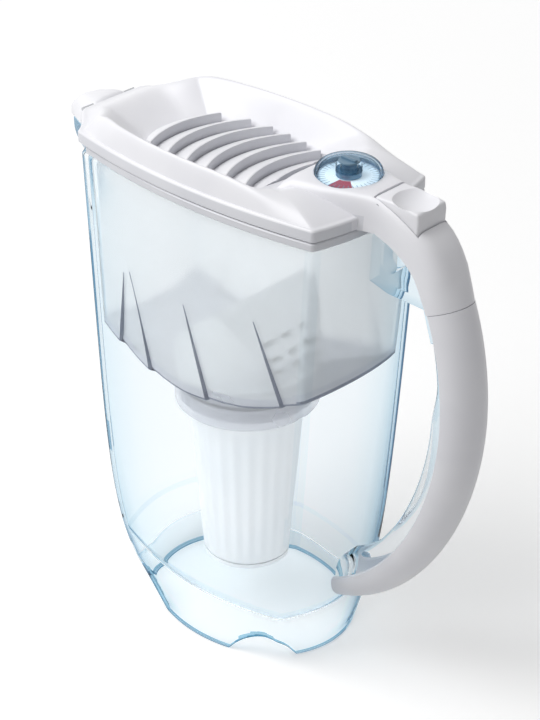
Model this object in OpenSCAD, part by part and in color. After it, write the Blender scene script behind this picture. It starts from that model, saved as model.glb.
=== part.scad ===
// Water filter pitcher with a louvred flip lid, a lift-out hopper and a plug-in cartridge.
// The origin is on the table, midway between the spout's tip and the back of the handle.

/* [Jug] */
// Height of the jug's rim above the table
rim_z = 245; // [225:1:265]
// Length of the rim from the jug's axis to the end below the spout
rim_spout = 85; // [80:1:90]
// Length of the rim from the jug's axis to the end at the handle
rim_end = 76.5; // [72:0.5:82]
// Half width of the rim at mid length
rim_half_w = 45.2; // [42:0.2:49]
// How far the long sides bow out past the corners
side_bow = 7.2; // [4:0.2:10]
// How far the short ends bow out past the corners
end_bow = 5; // [3:0.2:8]
// Radius of the rim's corners
corner_r = 5; // [3:0.5:9]
// Half length of the foot
foot_half_l = 57.5; // [53:0.5:62]
// How much wider the foot is than the rim, on each side
foot_flare = 0.8; // [0:0.1:1.6]
// Wall thickness of the jug
jug_wall = 2.6; // [2:0.2:3.4]
// Height of the four arched notches in the foot
notch_h = 15; // [8:0.5:16]
// Height of the jug floor's top above the table
floor_z = 21; // [20:0.5:28]
// Reach of the spout's tip from the jug's axis
spout_reach = 128; // [120:1:136]
// Height of the rim at the spout's tip
spout_tip_z = 237; // [232:0.5:241]

/* [Handle] */
// Reach of the handle's back from the jug's axis
handle_reach = 141; // [134:1:150]
// Height of the handle's furthest point above the table
handle_z = 166; // [156:1:176]
// Height of the joint between the lid's tail and the handle cover
seam_z = 226; // [218:1:232]
// Width of the handle cover and of the lid's tail
handle_w = 25; // [22:0.5:30]
// Depth of the handle cover, from its back towards the jug
cover_depth = 15; // [12:0.5:18]
// Thickness of the clear rail inside the handle cover
core_w = 8; // [6:0.5:11]
// Depth of the clear rail that shows in front of the cover
rail_depth = 9; // [6:0.5:12]

/* [Hopper] */
// Thickness of the hopper's flange on the rim
flange_t = 4.2; // [3:0.2:6]
// Wall thickness of the hopper
hopper_wall = 2; // [1.6:0.2:3]
// Height of the lowest point of the hopper's side above the table
hopper_low_z = 142; // [136:1:156]
// Rise of the hopper's lower edge towards its ends
hopper_lift = 22; // [10:1:30]
// Gap between hopper and jug at the spout end, where the water pours past
pour_gap = 7; // [5:0.5:10]
// Bore of the hopper's socket for the cartridge
socket_bore = 68; // [64:0.5:72]
// Height of the socket's lower end above the table
socket_low_z = 124; // [118:1:130]
// Distance of the socket's axis from the jug's axis, towards the spout
socket_off = 4.5; // [0:0.5:8]

/* [Cartridge] */
// Diameter of the cartridge body just below the socket
body_top_d = 58.4; // [54:0.2:61]
// Diameter of the cartridge body at its lower end
body_low_d = 46; // [40:0.5:52]
// Height of the cartridge's lower end above the table
body_low_z = 31; // [26:1:45]
// Height of the cap's highest point above the cartridge's flange
cap_rise = 38; // [28:1:42]
// Wall thickness of the cartridge
cart_wall = 1.8; // [1.4:0.1:2.4]

/* [Lid] */
// Height of the lid's side from its lower edge to its top edge
lid_side_h = 6.2; // [5:0.2:8]
// Rise of the lid's crest above its top edge, at mid length
crest_rise = 9; // [6:0.5:11]
// Half width of the fill opening
fill_half_w = 30; // [26:0.5:32]
// Distance from the jug's axis to the opening's round end near the spout
fill_spout = 60; // [55:1:64]
// Distance from the jug's axis to the opening's straight end near the dial
fill_end = 27; // [22:1:30]
// Distance from the jug's axis to the seam of the spout cap
cap_seam = 97; // [93:1:101]
// Height of the bridge that carries the dial, above the lid's top edge
bridge_rise = 10.6; // [9:0.2:13]
// Wall thickness of the lid
lid_wall = 2; // [1.6:0.1:2.6]

/* [Flap] */
// Number of louvre steps on the flap
step_count = 6; // [4:1:8]
// Spacing of the louvre steps
step_pitch = 12.5; // [10:0.5:14]
// Height of the louvre steps
step_h = 5.4; // [3:0.2:6]
// Radius of the louvre steps in plan
step_r = 47; // [40:1:60]
// Thickness of the flap's plate
plate_t = 2.6; // [2:0.2:3.2]
// Diameter of the flap's hinge pin
pin_d = 3; // [2.4:0.2:3.6]
// Height above the hinge pin at which the rod pushes the flap
push_h = 5.8; // [5.8:0.1:6.4]

/* [Button] */
// Width of the thumb button
button_w = 19.6; // [16:0.2:21]
// Length of the thumb button
button_l = 25; // [22:0.5:28]
// Diameter of the button's hinge pin
button_pin_d = 2.4; // [2:0.1:3]

/* [Dial] */
// Distance from the jug's axis to the dial's axis
dial_x = 58; // [54:0.5:62]
// Diameter of the dial's clear dome
dial_d = 31; // [27:0.5:34]
// Height of the clear dome above the bridge
dome_h = 5; // [4:0.5:7]
// Diameter of the dial's knob
knob_d = 10; // [8:0.5:12]

/* [Fits] */
// Gap between pieces that lift or lie loosely together
gap = 0.3; // [0.3:0.05:0.5]
// Radial clearance of the pins and turning fits
fit = 0.08; // [0.05:0.01:0.1]

/* [Hidden] */

// Half width of the foot
foot_half_w = rim_half_w + foot_flare;

// The jug's axis in the part's own frame
axis_x = (spout_reach - handle_reach) / 2;

// Plan of the rim: half length, middle, and the corners inside the bowed sides
rim_l = (rim_end + rim_spout) / 2;
corner_l = rim_l - end_bow;
corner_w = rim_half_w - side_bow;
flat_l = corner_l - corner_r;
flat_w = corner_w - corner_r;
end_n = 10;
side_n = 14;
corner_n = 4;
foot_round = 0.9;
rim_round = 0.04;

function end_run(s) = [for (i = [0:end_n])
    let (y = s * (2 * i / end_n - 1) * flat_w)
    [s * (corner_l + end_bow * (1 - pow(y / flat_w, 2))), y]];
function side_run(s) = [for (i = [0:side_n])
    let (x = s * (1 - 2 * i / side_n) * flat_l)
    [x, s * (corner_w + side_bow * (1 - pow(x / flat_l, 2)))]];
// Corner arc between the directions at which the bowed sides arrive, at a share t of it from the end's side
end_a = atan(2 * end_bow / flat_w);
side_a = 90 - atan(2 * side_bow / flat_l);
function corner_pt(t) = let (a = end_a + (side_a - end_a) * t)
    [corner_l - corner_r * (cos(end_a) - cos(a)) / (cos(end_a) - cos(side_a)),
        flat_w + corner_r * (sin(a) - sin(end_a)) / (sin(side_a) - sin(end_a))];
function corner_run(sx, sy) = [for (i = [1:corner_n - 1])
    let (p = corner_pt(sx == sy ? i / corner_n : 1 - i / corner_n)) [sx * p.x, sy * p.y]];
rim_ring = concat(end_run(1), corner_run(1, 1), side_run(1), corner_run(-1, 1),
    end_run(-1), corner_run(-1, -1), side_run(-1), corner_run(1, -1));
// The rim's points scaled to half lengths of 1, and their angles
unit_ring = [for (p = rim_ring) [p.x / rim_l, p.y / rim_half_w]];
turn = [for (u = unit_ring) atan2(u.y, u.x)];
ring_n = len(rim_ring);

// Growth from the foot (0) to the rim (1): a share of it within a short reach above the foot
end_share = 0.5;
end_rise = 60;
spout_share = 0.78;
spout_swell = 33;
round_share = 0.68;
round_rise = 20;
function ease(z, share, reach) = share * (1 - exp(-z / reach)) + (1 - share) * z / rim_z;
function end_l(z) = foot_half_l + (rim_end - foot_half_l) * ease(z, end_share, end_rise);
function spout_l(z) = foot_half_l + (rim_spout - foot_half_l) * ease(z, spout_share, spout_swell);
function half_w(z) = foot_half_w + (rim_half_w - foot_half_w) * z / rim_z;
function roundness(z) = foot_round + (rim_round - foot_round) * ease(z, round_share, round_rise);
function smooth(t) = let (u = max(0, min(1, t))) u * u * (3 - 2 * u);

// Point i of a plan with the jug's shape, on half lengths le (handle end) and ls (spout end)
function plan_pt(i, le, ls, w, k) = [
    (le - ls) / 2 + (le + ls) / 2 * ((1 - k) * unit_ring[i].x + k * cos(turn[i])),
    w * ((1 - k) * unit_ring[i].y + k * sin(turn[i]))];

// The spout: how far point i has run out towards the tip, from 0 at the corner to 1
spout_taper = 1.67;
spout_h = 60;
lip_round = 1.5;
lip_h = 5;
function run_out(i) = unit_ring[i].x < 0
    ? pow(max(0, 1 - abs(rim_ring[i].y) / corner_w), spout_taper) : 0;
spout_base_z = rim_z - spout_h;
lip_reach = spout_reach - lip_round;
function spout_rise(z) = smooth((z - spout_base_z) / (spout_h - lip_h));
function jug_pt(i, z, inset) =
    let (p = plan_pt(i, end_l(z) - inset, spout_l(z) - inset, half_w(z) - inset, roundness(z)))
    let (v = run_out(i))
    let (reach = lip_reach - rim_spout - inset / 2)
    let (dip = (rim_z - spout_tip_z) * v * smooth((z - spout_base_z) / spout_h))
    [p.x - reach * v * spout_rise(z), p.y, z - dip];

// Skin over a list of rings, closed at both ends by fans
module skin(rings) {
    n = len(rings[0]);
    m = len(rings);
    first = [for (k = [0:2]) sum_of(rings[0], k) / n];
    last = [for (k = [0:2]) sum_of(rings[m - 1], k) / n];
    points = concat([for (r = rings) each r], [first, last]);
    sides = [for (j = [0:m - 2], i = [0:n - 1]) each quad(j * n + i, j * n + (i + 1) % n,
        (j + 1) * n + i, (j + 1) * n + (i + 1) % n)];
    start = [for (i = [0:n - 1]) [m * n, (i + 1) % n, i]];
    stop = [for (i = [0:n - 1]) [m * n + 1, (m - 1) * n + i, (m - 1) * n + (i + 1) % n]];
    polyhedron(points, concat(sides, start, stop));
}

// Skin over a closed loop of rings, like a picture frame
module loop_skin(rings) {
    n = len(rings[0]);
    m = len(rings);
    sides = [for (j = [0:m - 1], i = [0:n - 1]) let (k = (j + 1) % m)
        each quad(j * n + i, j * n + (i + 1) % n, k * n + i, k * n + (i + 1) % n)];
    polyhedron([for (r = rings) each r], sides);
}
function sum_of(list, k, i = 0) = i == len(list) ? 0 : list[i][k] + sum_of(list, k, i + 1);
function quad(a, b, c, d) = [[a, b, d], [a, d, c]];

// Everything is drawn about the jug's axis and set down in the part's own frame
module at_axis() {
    translate([axis_x, 0, 0]) children();
}

// A profile in X and Z, extruded to a width in Y about the middle
module side_extrude(width, y = 0) {
    translate([0, y + width / 2, 0]) rotate([90, 0, 0]) linear_extrude(width) children();
}

// A pin or bore along Y
module cross_pin(x, z, d, width, y = 0) {
    translate([x, y + width / 2, z]) rotate([90, 0, 0]) cylinder(h = width, d = d, $fn = 48);
}

// A box from its middle in X and Y and its lower face
module box(x0, x1, width, z0, z1, y = 0) {
    translate([x0, y - width / 2, z0]) cube([x1 - x0, width, z1 - z0]);
}

// ---- Jug ----
notch_at = 48;
notch_span = 19;
function fold(a) = abs(a) > 90 ? 180 - abs(a) : abs(a);
function notch_z(i) = notch_h * max(0, 1 - pow((fold(turn[i]) - notch_at) / notch_span, 2));
// Heights of the wall's rings as shares of the rim's height, closer together at the floor and the spout
wall_levels = [0.12, 0.17, 0.235, 0.32, 0.415, 0.53, 0.655, 0.755, 0.81, 0.86, 0.905, 0.955, 1] * rim_z;
floor_blend = 4;
floor_corner = 3;

function jug_ring(z, inset) = [for (i = [0:ring_n - 1]) jug_pt(i, z, inset)];
function foot_ring(part, inset) = [for (i = [0:ring_n - 1])
    jug_pt(i, notch_z(i) * (1 - part) + (floor_z - jug_wall) * part, inset)];
inside_rings = concat([jug_ring(floor_z, jug_wall + floor_corner), jug_ring(floor_z + floor_blend, jug_wall)],
    [for (z = wall_levels) jug_ring(z, jug_wall)]);
outside_rings = concat([for (k = [len(wall_levels) - 1:-1:0]) jug_ring(wall_levels[k], 0)],
    [foot_ring(1, 0), foot_ring(0.4, 0), foot_ring(0, 0)]);
under_rings = [foot_ring(0, jug_wall), foot_ring(0.95, jug_wall)];

// ---- Handle ----
handle_mid = 44;
back_a = handle_reach - handle_mid;
back_top = 48;
back_low_z = 31;
back_up = rim_z + back_top - handle_z;
back_down = handle_z - back_low_z;
up_n = 1.8;
down_n = 1.9;
cover_wall = 2.4;
function back_pt(t) = t >= 0
    ? [handle_mid + back_a * pow(cos(t), 2 / up_n), handle_z + back_up * pow(sin(t), 2 / up_n)]
    : [handle_mid + back_a * pow(cos(t), 2 / down_n), handle_z - back_down * pow(sin(-t), 2 / down_n)];
// Point of the handle's back at angle t, moved in towards the jug by d
function back_in(t, d) =
    let (a = back_pt(t - 0.5), b = back_pt(t + 0.5), p = back_pt(t))
    let (l = norm(b - a))
    [p.x - d * (b.y - a.y) / l, p.y + d * (b.x - a.x) / l];
function angle_at(z) = asin(pow((z - handle_z) / back_up, up_n / 2));
seam_t = angle_at(seam_z);
cover_t = angle_at(seam_z - gap);
low_t = -80;
// Angle by which the cover's slot runs on past its upper end
slot_over = 4;
function band(t0, t1, d0, d1, n = 24) = concat(
    [for (i = [0:n]) back_in(t0 + (t1 - t0) * i / n, d0)],
    [for (i = [n:-1:0]) back_in(t0 + (t1 - t0) * i / n, d1)]);

// The jug's end wall in side view, grown by g, filled back to x = 0
module end_wall(g, z0, z1) {
    n = 16;
    polygon(concat([[0, z0]], [for (i = [0:n]) let (z = z0 + (z1 - z0) * i / n) [end_l(z) + g, z]],
        [[0, z1]]));
}

// Half-elliptic section in steps: each band is a share of the width, and the wider it is the less deep
band_shares = [0.4, 0.62, 0.78, 0.9, 1];
side_flat = 0.96;
front_round = 0.35;
module rounded_band(t0, t1, depth, width) {
    for (k = band_shares) {
        d = depth / 2 * (1 - sqrt(1 - pow(k * side_flat, 2)));
        side_extrude(width * k) polygon(band(t0, t1, d, depth - d * front_round));
    }
}

core_in = cover_wall + gap;
rail_in = cover_depth + rail_depth;
// The rail's upper end slopes away from the tail: this far down the back, and this deep at the seam
rail_slope = 9;
rail_top_in = 10;
web_top = rim_z - 2;
web_low = rim_z - 25;
web_arch = 3;
web_slope = 5;
web_arch_x = rim_end + 9.5;
web_end_x = rim_end + 23.5;
window_r = 4.5;
window_x = end_l(rim_z) + window_r + 5.5;
window_drop = 13;
window_z = rim_z - window_drop;
module core_profile() {
    difference() {
        union() {
            polygon(concat([back_in(cover_t, rail_top_in)],
                band(cover_t - rail_slope, low_t, core_in, rail_in), [back_in(cover_t, rail_in)]));
            polygon(concat([[end_l(web_low) - jug_wall / 2, web_low]],
                [for (t = [seam_t:4:seam_t + 12]) back_in(t, rail_top_in + gap)],
                [[web_end_x - web_slope, web_top], [end_l(web_top) - jug_wall / 2, web_top]]));
            polygon([[end_l(web_low) - jug_wall / 2, web_low], [web_arch_x, web_low - web_arch],
                back_in(cover_t, rail_in), back_in(cover_t, rail_top_in), [web_end_x, web_top - web_slope],
                [end_l(web_top) - jug_wall / 2, web_top]]);
        }
        end_wall(-jug_wall / 2, 0, rim_z);
        // Window under the lid's tail
        translate([window_x, window_z]) circle(r = window_r, $fn = 32);
        translate([window_x - window_r, window_z]) square([2 * window_r, window_drop + window_r]);
    }
}

module jug() {
    at_axis() color([0.75, 0.88, 0.95, 0.35]) {
        skin(concat(inside_rings, outside_rings, under_rings));
        side_extrude(core_w) core_profile();
    }
}

module handle_cover() {
    at_axis() color("white") difference() {
        rounded_band(cover_t, low_t, cover_depth, handle_w);
        side_extrude(core_w + 2 * gap)
            polygon(band(seam_t + slot_over, low_t - slot_over / 2, cover_wall, cover_depth + 2));
        side_extrude(handle_w + 2) end_wall(gap, 0, rim_z);
    }
}

// ---- Hopper ----
lid_low = rim_z + flange_t + 2 * gap;
side_gap = 1.2;
hop_in = jug_wall + side_gap;
socket_r = socket_bore / 2;
socket_wall = 2.3;
flange_seat = 2.6;
seat_edge = 0.6;
socket_top_z = hopper_low_z + 2;
// Flat seat round the socket, for the cartridge's flange
flange_r = socket_r + flange_seat;
seat_r = flange_r + seat_edge;
// The hopper is lowest here, measured from the jug's axis
hopper_low_x = -14;
function hop_low(x) = hopper_low_z + hopper_lift * pow((x - hopper_low_x) / rim_l, 2);
function hop_pt(i, z, inset) =
    let (p = plan_pt(i, end_l(z) - inset, spout_l(z) - inset - pour_gap, half_w(z) - inset, roundness(z)))
    [p.x, p.y, z];
function flange_pt(i, z, inset) =
    let (p = plan_pt(i, rim_end - inset, rim_spout - end_bow - inset, rim_half_w - inset, rim_round))
    [p.x, p.y, z];
function hop_edge(rise, inset) = [for (i = [0:ring_n - 1])
    let (x = hop_pt(i, hopper_low_z, inset).x) hop_pt(i, hop_low(x) + rise, inset)];
function flange_ring(z, inset) = [for (i = [0:ring_n - 1]) flange_pt(i, z, inset)];
function socket_ring(z, r) = [for (i = [0:ring_n - 1])
    [-socket_off + r * cos(turn[i]), r * sin(turn[i]), z]];
hopper_levels = [0.25, 0.6, 1];
flange_lap = 1;
function hop_level(t, inset) = [for (i = [0:ring_n - 1])
    let (low = hop_low(hop_pt(i, hopper_low_z, inset).x))
    hop_pt(i, low * (1 - t) + (rim_z - 1) * t, inset)];
hop_rings = concat(
    [hop_edge(hopper_wall, hop_in + hopper_wall)],
    [for (t = hopper_levels) hop_level(t, hop_in + hopper_wall)],
    [flange_ring(lid_low - gap, hop_in + hopper_wall), flange_ring(lid_low - gap, -flange_lap),
        flange_ring(rim_z + gap, -flange_lap), flange_ring(rim_z + gap, hop_in)],
    [for (k = [len(hopper_levels) - 1:-1:0]) hop_level(hopper_levels[k], hop_in)],
    [hop_edge(0, hop_in), socket_ring(socket_top_z - hopper_wall, seat_r),
        socket_ring(socket_top_z, seat_r)]);

module hopper() {
    at_axis() color([0.93, 0.94, 0.96, 0.6]) {
        loop_skin(hop_rings);
        translate([-socket_off, 0, 0]) difference() {
            union() {
                cylinder_at(0, socket_low_z, socket_top_z, socket_r + socket_wall);
                cylinder_at(0, socket_top_z - hopper_wall, socket_top_z, seat_r + 0.1);
            }
            translate([0, 0, socket_low_z - 1]) cylinder(h = socket_top_z, r = socket_r, $fn = 96);
        }
    }
}

// ---- Lid ----
lid_top = lid_low + lid_side_h;
bridge_z = lid_top + bridge_rise;
plate_top = lid_low + 0.5;
ledge_z = plate_top - plate_t;
lid_lap = 1.2;
lid_round = 1.5;
crest_share = 0.24;
handle_share = 0.3;
crest_run = 52;
crest_drop = 0.55;
crest_drop_run = 62;
opening_mid = (fill_end - fill_spout) / 2;
opening_l = (fill_end + fill_spout) / 2;
opening_round = 0.75;

// Point i of the lid's outline, run out towards the spout and cut off at the cap's seam
function lid_pt(i, z, inset) =
    let (p = plan_pt(i, rim_end + lid_lap - inset, rim_spout + lid_lap - inset,
        rim_half_w + lid_lap - inset, rim_round))
    let (x = p.x - (spout_reach - rim_spout) * run_out(i))
    [max(x, -cap_seam + max(inset, 0)), p.y, z];
// Point i of the fill opening's outline
function open_pt(i, z, inset) =
    let (k = unit_ring[i].x < 0 ? opening_round : 0.06)
    [opening_mid + (opening_l - inset) * ((1 - k) * unit_ring[i].x + k * cos(turn[i])),
        (fill_half_w - inset) * ((1 - k) * unit_ring[i].y + k * sin(turn[i])), z];
// Crest height along the lid: full at mid length, low at the spout cap and at the handle
function crest_z(x) = lid_top + crest_rise * smooth((x + cap_seam + 4) / crest_run)
    * (1 - crest_drop * smooth((x - 10) / crest_drop_run));
function lower_edge(i) = -flange_t * min(1, run_out(i) / 0.2)
    - (rim_z - spout_tip_z) * min(run_out(i), 0.3);
function at_handle(i) = smooth((unit_ring[i].x - 0.55) / 0.4);
function share_of(i) = crest_share + handle_share * at_handle(i);
function lid_mix(i, t, z, inset = 0) =
    let (a = lid_pt(i, 0, lid_round + inset), b = open_pt(i, 0, 0))
    [a.x + (b.x - a.x) * t, a.y + (b.y - a.y) * t, z];
function edge_z(i) = plate_top - 0.5 + (step_h - 0.3) * at_handle(i);
function bowl_mix(i, s) =
    let (c = share_of(i), t = c + (1 - c) * s, p = lid_mix(i, t, 0))
    let (top = crest_z(lid_mix(i, c, 0).x))
    [p.x, p.y, edge_z(i) + (top - edge_z(i)) * pow(1 - s, 1.5)];
lid_rings_top = [
    [for (i = [0:ring_n - 1]) open_pt(i, edge_z(i), 0)],
    [for (i = [0:ring_n - 1]) bowl_mix(i, 0.7)],
    [for (i = [0:ring_n - 1]) bowl_mix(i, 0.4)],
    [for (i = [0:ring_n - 1]) bowl_mix(i, 0.15)],
    [for (i = [0:ring_n - 1]) bowl_mix(i, 0)],
    [for (i = [0:ring_n - 1]) let (c = share_of(i), z = crest_z(lid_mix(i, c, 0).x))
        lid_mix(i, c * 0.5, lid_top + (z - lid_top) * 0.75)],
    [for (i = [0:ring_n - 1]) lid_mix(i, 0, lid_top)],
    [for (i = [0:ring_n - 1]) lid_pt(i, lid_top - lid_round, 0)],
    [for (i = [0:ring_n - 1]) lid_pt(i, lid_low + lower_edge(i), 0)]];
lid_rings_under = [
    [for (i = [0:ring_n - 1]) lid_pt(i, lid_low + lower_edge(i), lid_wall)],
    [for (i = [0:ring_n - 1]) lid_pt(i, lid_top - lid_wall - 0.5, lid_wall)],
    [for (i = [0:ring_n - 1]) let (c = share_of(i), z = crest_z(lid_mix(i, c, 0).x))
        lid_mix(i, max(0.1, c * 0.5), lid_top + (z - lid_top) * 0.75 - lid_wall)],
    [for (i = [0:ring_n - 1]) bowl_mix(i, 0) - [0, 0, lid_wall]],
    [for (i = [0:ring_n - 1]) bowl_mix(i, 0.15) - [0, 0, lid_wall]],
    [for (i = [0:ring_n - 1]) bowl_mix(i, 0.4) - [0, 0, lid_wall]],
    [for (i = [0:ring_n - 1]) bowl_mix(i, 0.7) - [0, 0, lid_wall]],
    [for (i = [0:ring_n - 1]) open_pt(i, edge_z(i) - lid_wall, 0)]];

// Flap hinge, push rod and button
hinge_x = fill_end - 2;
hinge_z = ledge_z - pin_d / 2 - 1.1;
flap_edge_x = fill_end - 0.6;
push_z = hinge_z + push_h;
nose_r = 1.5;
rod_w = 5;
rod_t = 2.2;
push_gap = 0.1;
nose_x = flap_edge_x + nose_r + push_gap;
button_x = end_l(rim_z) + 8;
button_nose = 3;
button_front = button_x - button_nose;
button_rear = button_front + button_l;
button_pin_z = bridge_z - 4;
tail_run = 19;
tail_drop_x = button_x + tail_run;
tail_t = 40;
dial_rim = 4;
dial_edge_x = dial_x - dial_d / 2;
tail_in = cover_depth;
tail_step = 12;
tail_step_z = rim_z + tail_step;

// The bridge and tail in side view, with the top kept d inside its outline
module tail_top(d) {
    polygon(concat(
        [[fill_end + 3 + d, lid_top - 3], [fill_end + 9 + d, lid_top + 3 - d],
            [dial_edge_x - dial_rim + d, bridge_z - 1.5 - d], [dial_edge_x + d, bridge_z - d],
            [button_front - d * 0.3, bridge_z - d], [button_x + 2 - d * 0.5, bridge_z - 1.2 - d],
            [tail_drop_x - d, tail_step_z - d]],
        [for (k = [0:12]) back_in(tail_t + (seam_t - tail_t) * k / 12, d)],
        [for (k = [12:-1:0]) back_in(tail_t + (seam_t - tail_t) * k / 12, tail_in)],
        [[end_l(rim_z) + 4, lid_low], [fill_end + 3 + d, lid_low]]));
}

// The bridge and tail in plan: wide at the bowl, as wide as the handle over the button
module tail_plan(d) {
    half = [[fill_end + 2, fill_half_w + 2], [fill_end + 14, fill_half_w - 6],
        [dial_x, dial_d / 2 + dial_rim], [button_x - 8, handle_w / 2 + 0.5], [button_x, handle_w / 2],
        [handle_reach, handle_w / 2]];
    linear_extrude(rim_z * 2) polygon(concat([for (p = half) [p.x, p.y - d]],
        [for (k = [len(half) - 1:-1:0]) [half[k].x, d - half[k].y]]));
}

module tail_solid(d) {
    intersection() {
        side_extrude(fill_half_w * 2 + 10) tail_top(d);
        tail_plan(d);
    }
}

ear_y = 16.6;
ear_w = 2.2;
ear_r = 2.2;
cap_pin_d = 2;
cap_pin_x = -cap_seam - gap - ear_r;
cap_pin_z = lid_top - 0.2 - ear_r;
boss_y = fill_half_w + 2.4;
boss_w = 4;
axle_d = 3;
well_r = dial_d / 2 + gap;
well_z = bridge_z - 2.6;

rib_x = [fill_end + 10, dial_x + 7.5];
rib_t = 2.5;
module lid_shell() {
    at_axis() color("white") difference() {
        union() {
            loop_skin(concat(lid_rings_top, lid_rings_under));
            tail_solid(0);
            // Guides that carry the push rod
            for (x = rib_x)
                box(x, x + rib_t, rod_w + 5, push_z - rod_t / 2 - gap - 1.6, lid_top);
            for (s = [-1, 1]) {
                // Bosses for the flap's hinge pin
                box(hinge_x - 3, hinge_x + 3, boss_w, hinge_z - 3, lid_top - 0.6, s * boss_y);
                // Ears for the spout cap's pin
                cross_pin(cap_pin_x, cap_pin_z, 2 * ear_r, ear_w, s * ear_y);
                box(cap_pin_x, -cap_seam + 1, ear_w, cap_pin_z - 3.5, cap_pin_z + ear_r, s * ear_y);
            }
        }
        // Hollow under the bridge and the tail, open below
        difference() {
            tail_solid(lid_wall);
            for (x = rib_x) box(x, x + rib_t, 2 * fill_half_w, lid_low - 5, bridge_z);
            cylinder_at(dial_x, lid_low + 4, bridge_z, axle_d / 2 + 2);
            cylinder_at(dial_x, well_z - lid_wall, bridge_z, well_r + lid_wall);
        }
        side_extrude(handle_w - 2 * lid_wall)
            polygon(concat([[end_l(rim_z) - 6, lid_low - 8]], [[end_l(rim_z) - 6, lid_top - 2.5],
                [button_x, lid_top - 2.5]],
                [for (k = [0:12]) back_in(tail_t + (seam_t - 2 - tail_t) * k / 12, lid_wall + 4)],
                [for (k = [12:-1:0]) back_in(tail_t + (seam_t - 2 - tail_t) * k / 12, tail_in + 3)]));
        // Pocket for the button
        box(button_front - gap, button_rear + gap, button_w + 2 * gap, push_z - 4, bridge_z + 5);
        // Way for the push rod
        box(fill_end - 1, button_x, rod_w + 2 * gap, push_z - rod_t / 2 - gap, push_z + rod_t / 2 + gap);
        // Well for the dial, and the bore of its axle
        cylinder_at(dial_x, well_z, bridge_z + 5, well_r);
        cylinder_at(dial_x, lid_low - 1, bridge_z, axle_d / 2);
        cross_pin(hinge_x, hinge_z, pin_d + 2 * fit, 2 * boss_y + 2.4);
        cross_pin(button_x, button_pin_z, button_pin_d, handle_w - 1.6);
        cross_pin(cap_pin_x, cap_pin_z, cap_pin_d, 2 * ear_y + 1.4);
    }
}

// An upright cylinder on the dial's axis or another, from z0 to z1
module cylinder_at(x, z0, z1, r) {
    translate([x, 0, z0]) cylinder(h = z1 - z0, r = r, $fn = 96);
}

// ---- Flap ----
flap_rim = 0.6;
flap_barrel_w = 9;
flap_barrel_y = fill_half_w - 8;
module flap_outline(h) {
    linear_extrude(h) polygon([for (i = [0:ring_n - 1])
        let (p = open_pt(i, 0, flap_rim)) [p.x, p.y]]);
}

// One louvre step: its riser is an arc of step_r that faces the handle, its tread falls to the spout
module louvre(apex) {
    translate([apex + step_r, 0, plate_top - 0.01]) rotate([0, 0, 125])
        rotate_extrude(angle = 110, $fn = 180)
            polygon([[step_r, 0], [step_r, step_h], [step_r + step_pitch, 0]]);
}

module fill_flap() {
    at_axis() color("white") difference() {
        union() {
            intersection() {
                translate([0, 0, ledge_z]) flap_outline(step_h + plate_t);
                union() {
                    for (k = [1:step_count + 1]) louvre(k * step_pitch - fill_spout - step_pitch + 9);
                    box(-fill_spout - 1, fill_end + 1, 2 * fill_half_w, ledge_z, plate_top);
                }
            }
            for (s = [-1, 1]) {
                cross_pin(hinge_x, hinge_z, 2 * (flap_edge_x - hinge_x) + 2, flap_barrel_w,
                    s * flap_barrel_y);
                box(hinge_x - 2.4, hinge_x, flap_barrel_w, hinge_z, ledge_z + 1, s * flap_barrel_y);
            }
        }
        cross_pin(hinge_x, hinge_z, pin_d + 2 * fit, 2 * fill_half_w + 2);
        // Slot for the spring's leg
        box(hinge_x - flap_leg - 1, hinge_x + 1, wire_d + 0.8, hinge_z, ledge_z + 0.75 * plate_t,
            coil_end_y);
    }
}

module flap_pin() {
    at_axis() color("silver") cross_pin(hinge_x, hinge_z, pin_d, 2 * boss_y + 2);
}

// Torsion spring on the hinge pin: one leg under the bridge, one in a slot of the flap
wire_d = 0.6;
coil_turns = 5;
coil_pitch = wire_d + 0.05;
coil_r = pin_d / 2 + wire_d / 2 + 0.2;
coil_y = flap_barrel_y - flap_barrel_w / 2 - 6;
leg_rise = 18;
lid_leg = 7;
flap_leg = 4.5;
coil_end_y = coil_y + coil_pitch * (coil_turns - leg_rise / 360);
// Ring of the wire's surface at angle a of the coil, moved by l along the tangent there
function wire_ring(a, l, y) =
    [for (k = [0:7]) let (r = coil_r + wire_d / 2 * cos(45 * k))
        [hinge_x + r * cos(a) - l * sin(a), y + wire_d / 2 * sin(45 * k), hinge_z + r * sin(a) + l * cos(a)]];
first_a = 90 + leg_rise;
last_a = 90 + 360 * coil_turns;
module flap_spring() {
    at_axis() color("silver") skin(concat(
        [wire_ring(first_a, -lid_leg, coil_y)],
        [for (a = [first_a:18:last_a]) wire_ring(a, 0, coil_y + coil_pitch * (a - first_a) / 360)],
        [wire_ring(last_a, 0, coil_end_y), wire_ring(last_a, flap_leg, coil_end_y)]));
}

module push_rod() {
    at_axis() color("white") {
        box(nose_x, button_x - nose_r - push_gap, rod_w, push_z - rod_t / 2, push_z + rod_t / 2);
        cross_pin(nose_x, push_z, 2 * min(nose_r, rod_t / 2), rod_w);
        difference() {
            cross_pin(nose_x, push_z, 2 * nose_r, rod_w);
            box(nose_x - 5, nose_x + 5, rod_w + 2, push_z - 9, push_z - rod_t / 2);
        }
    }
}

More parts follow.
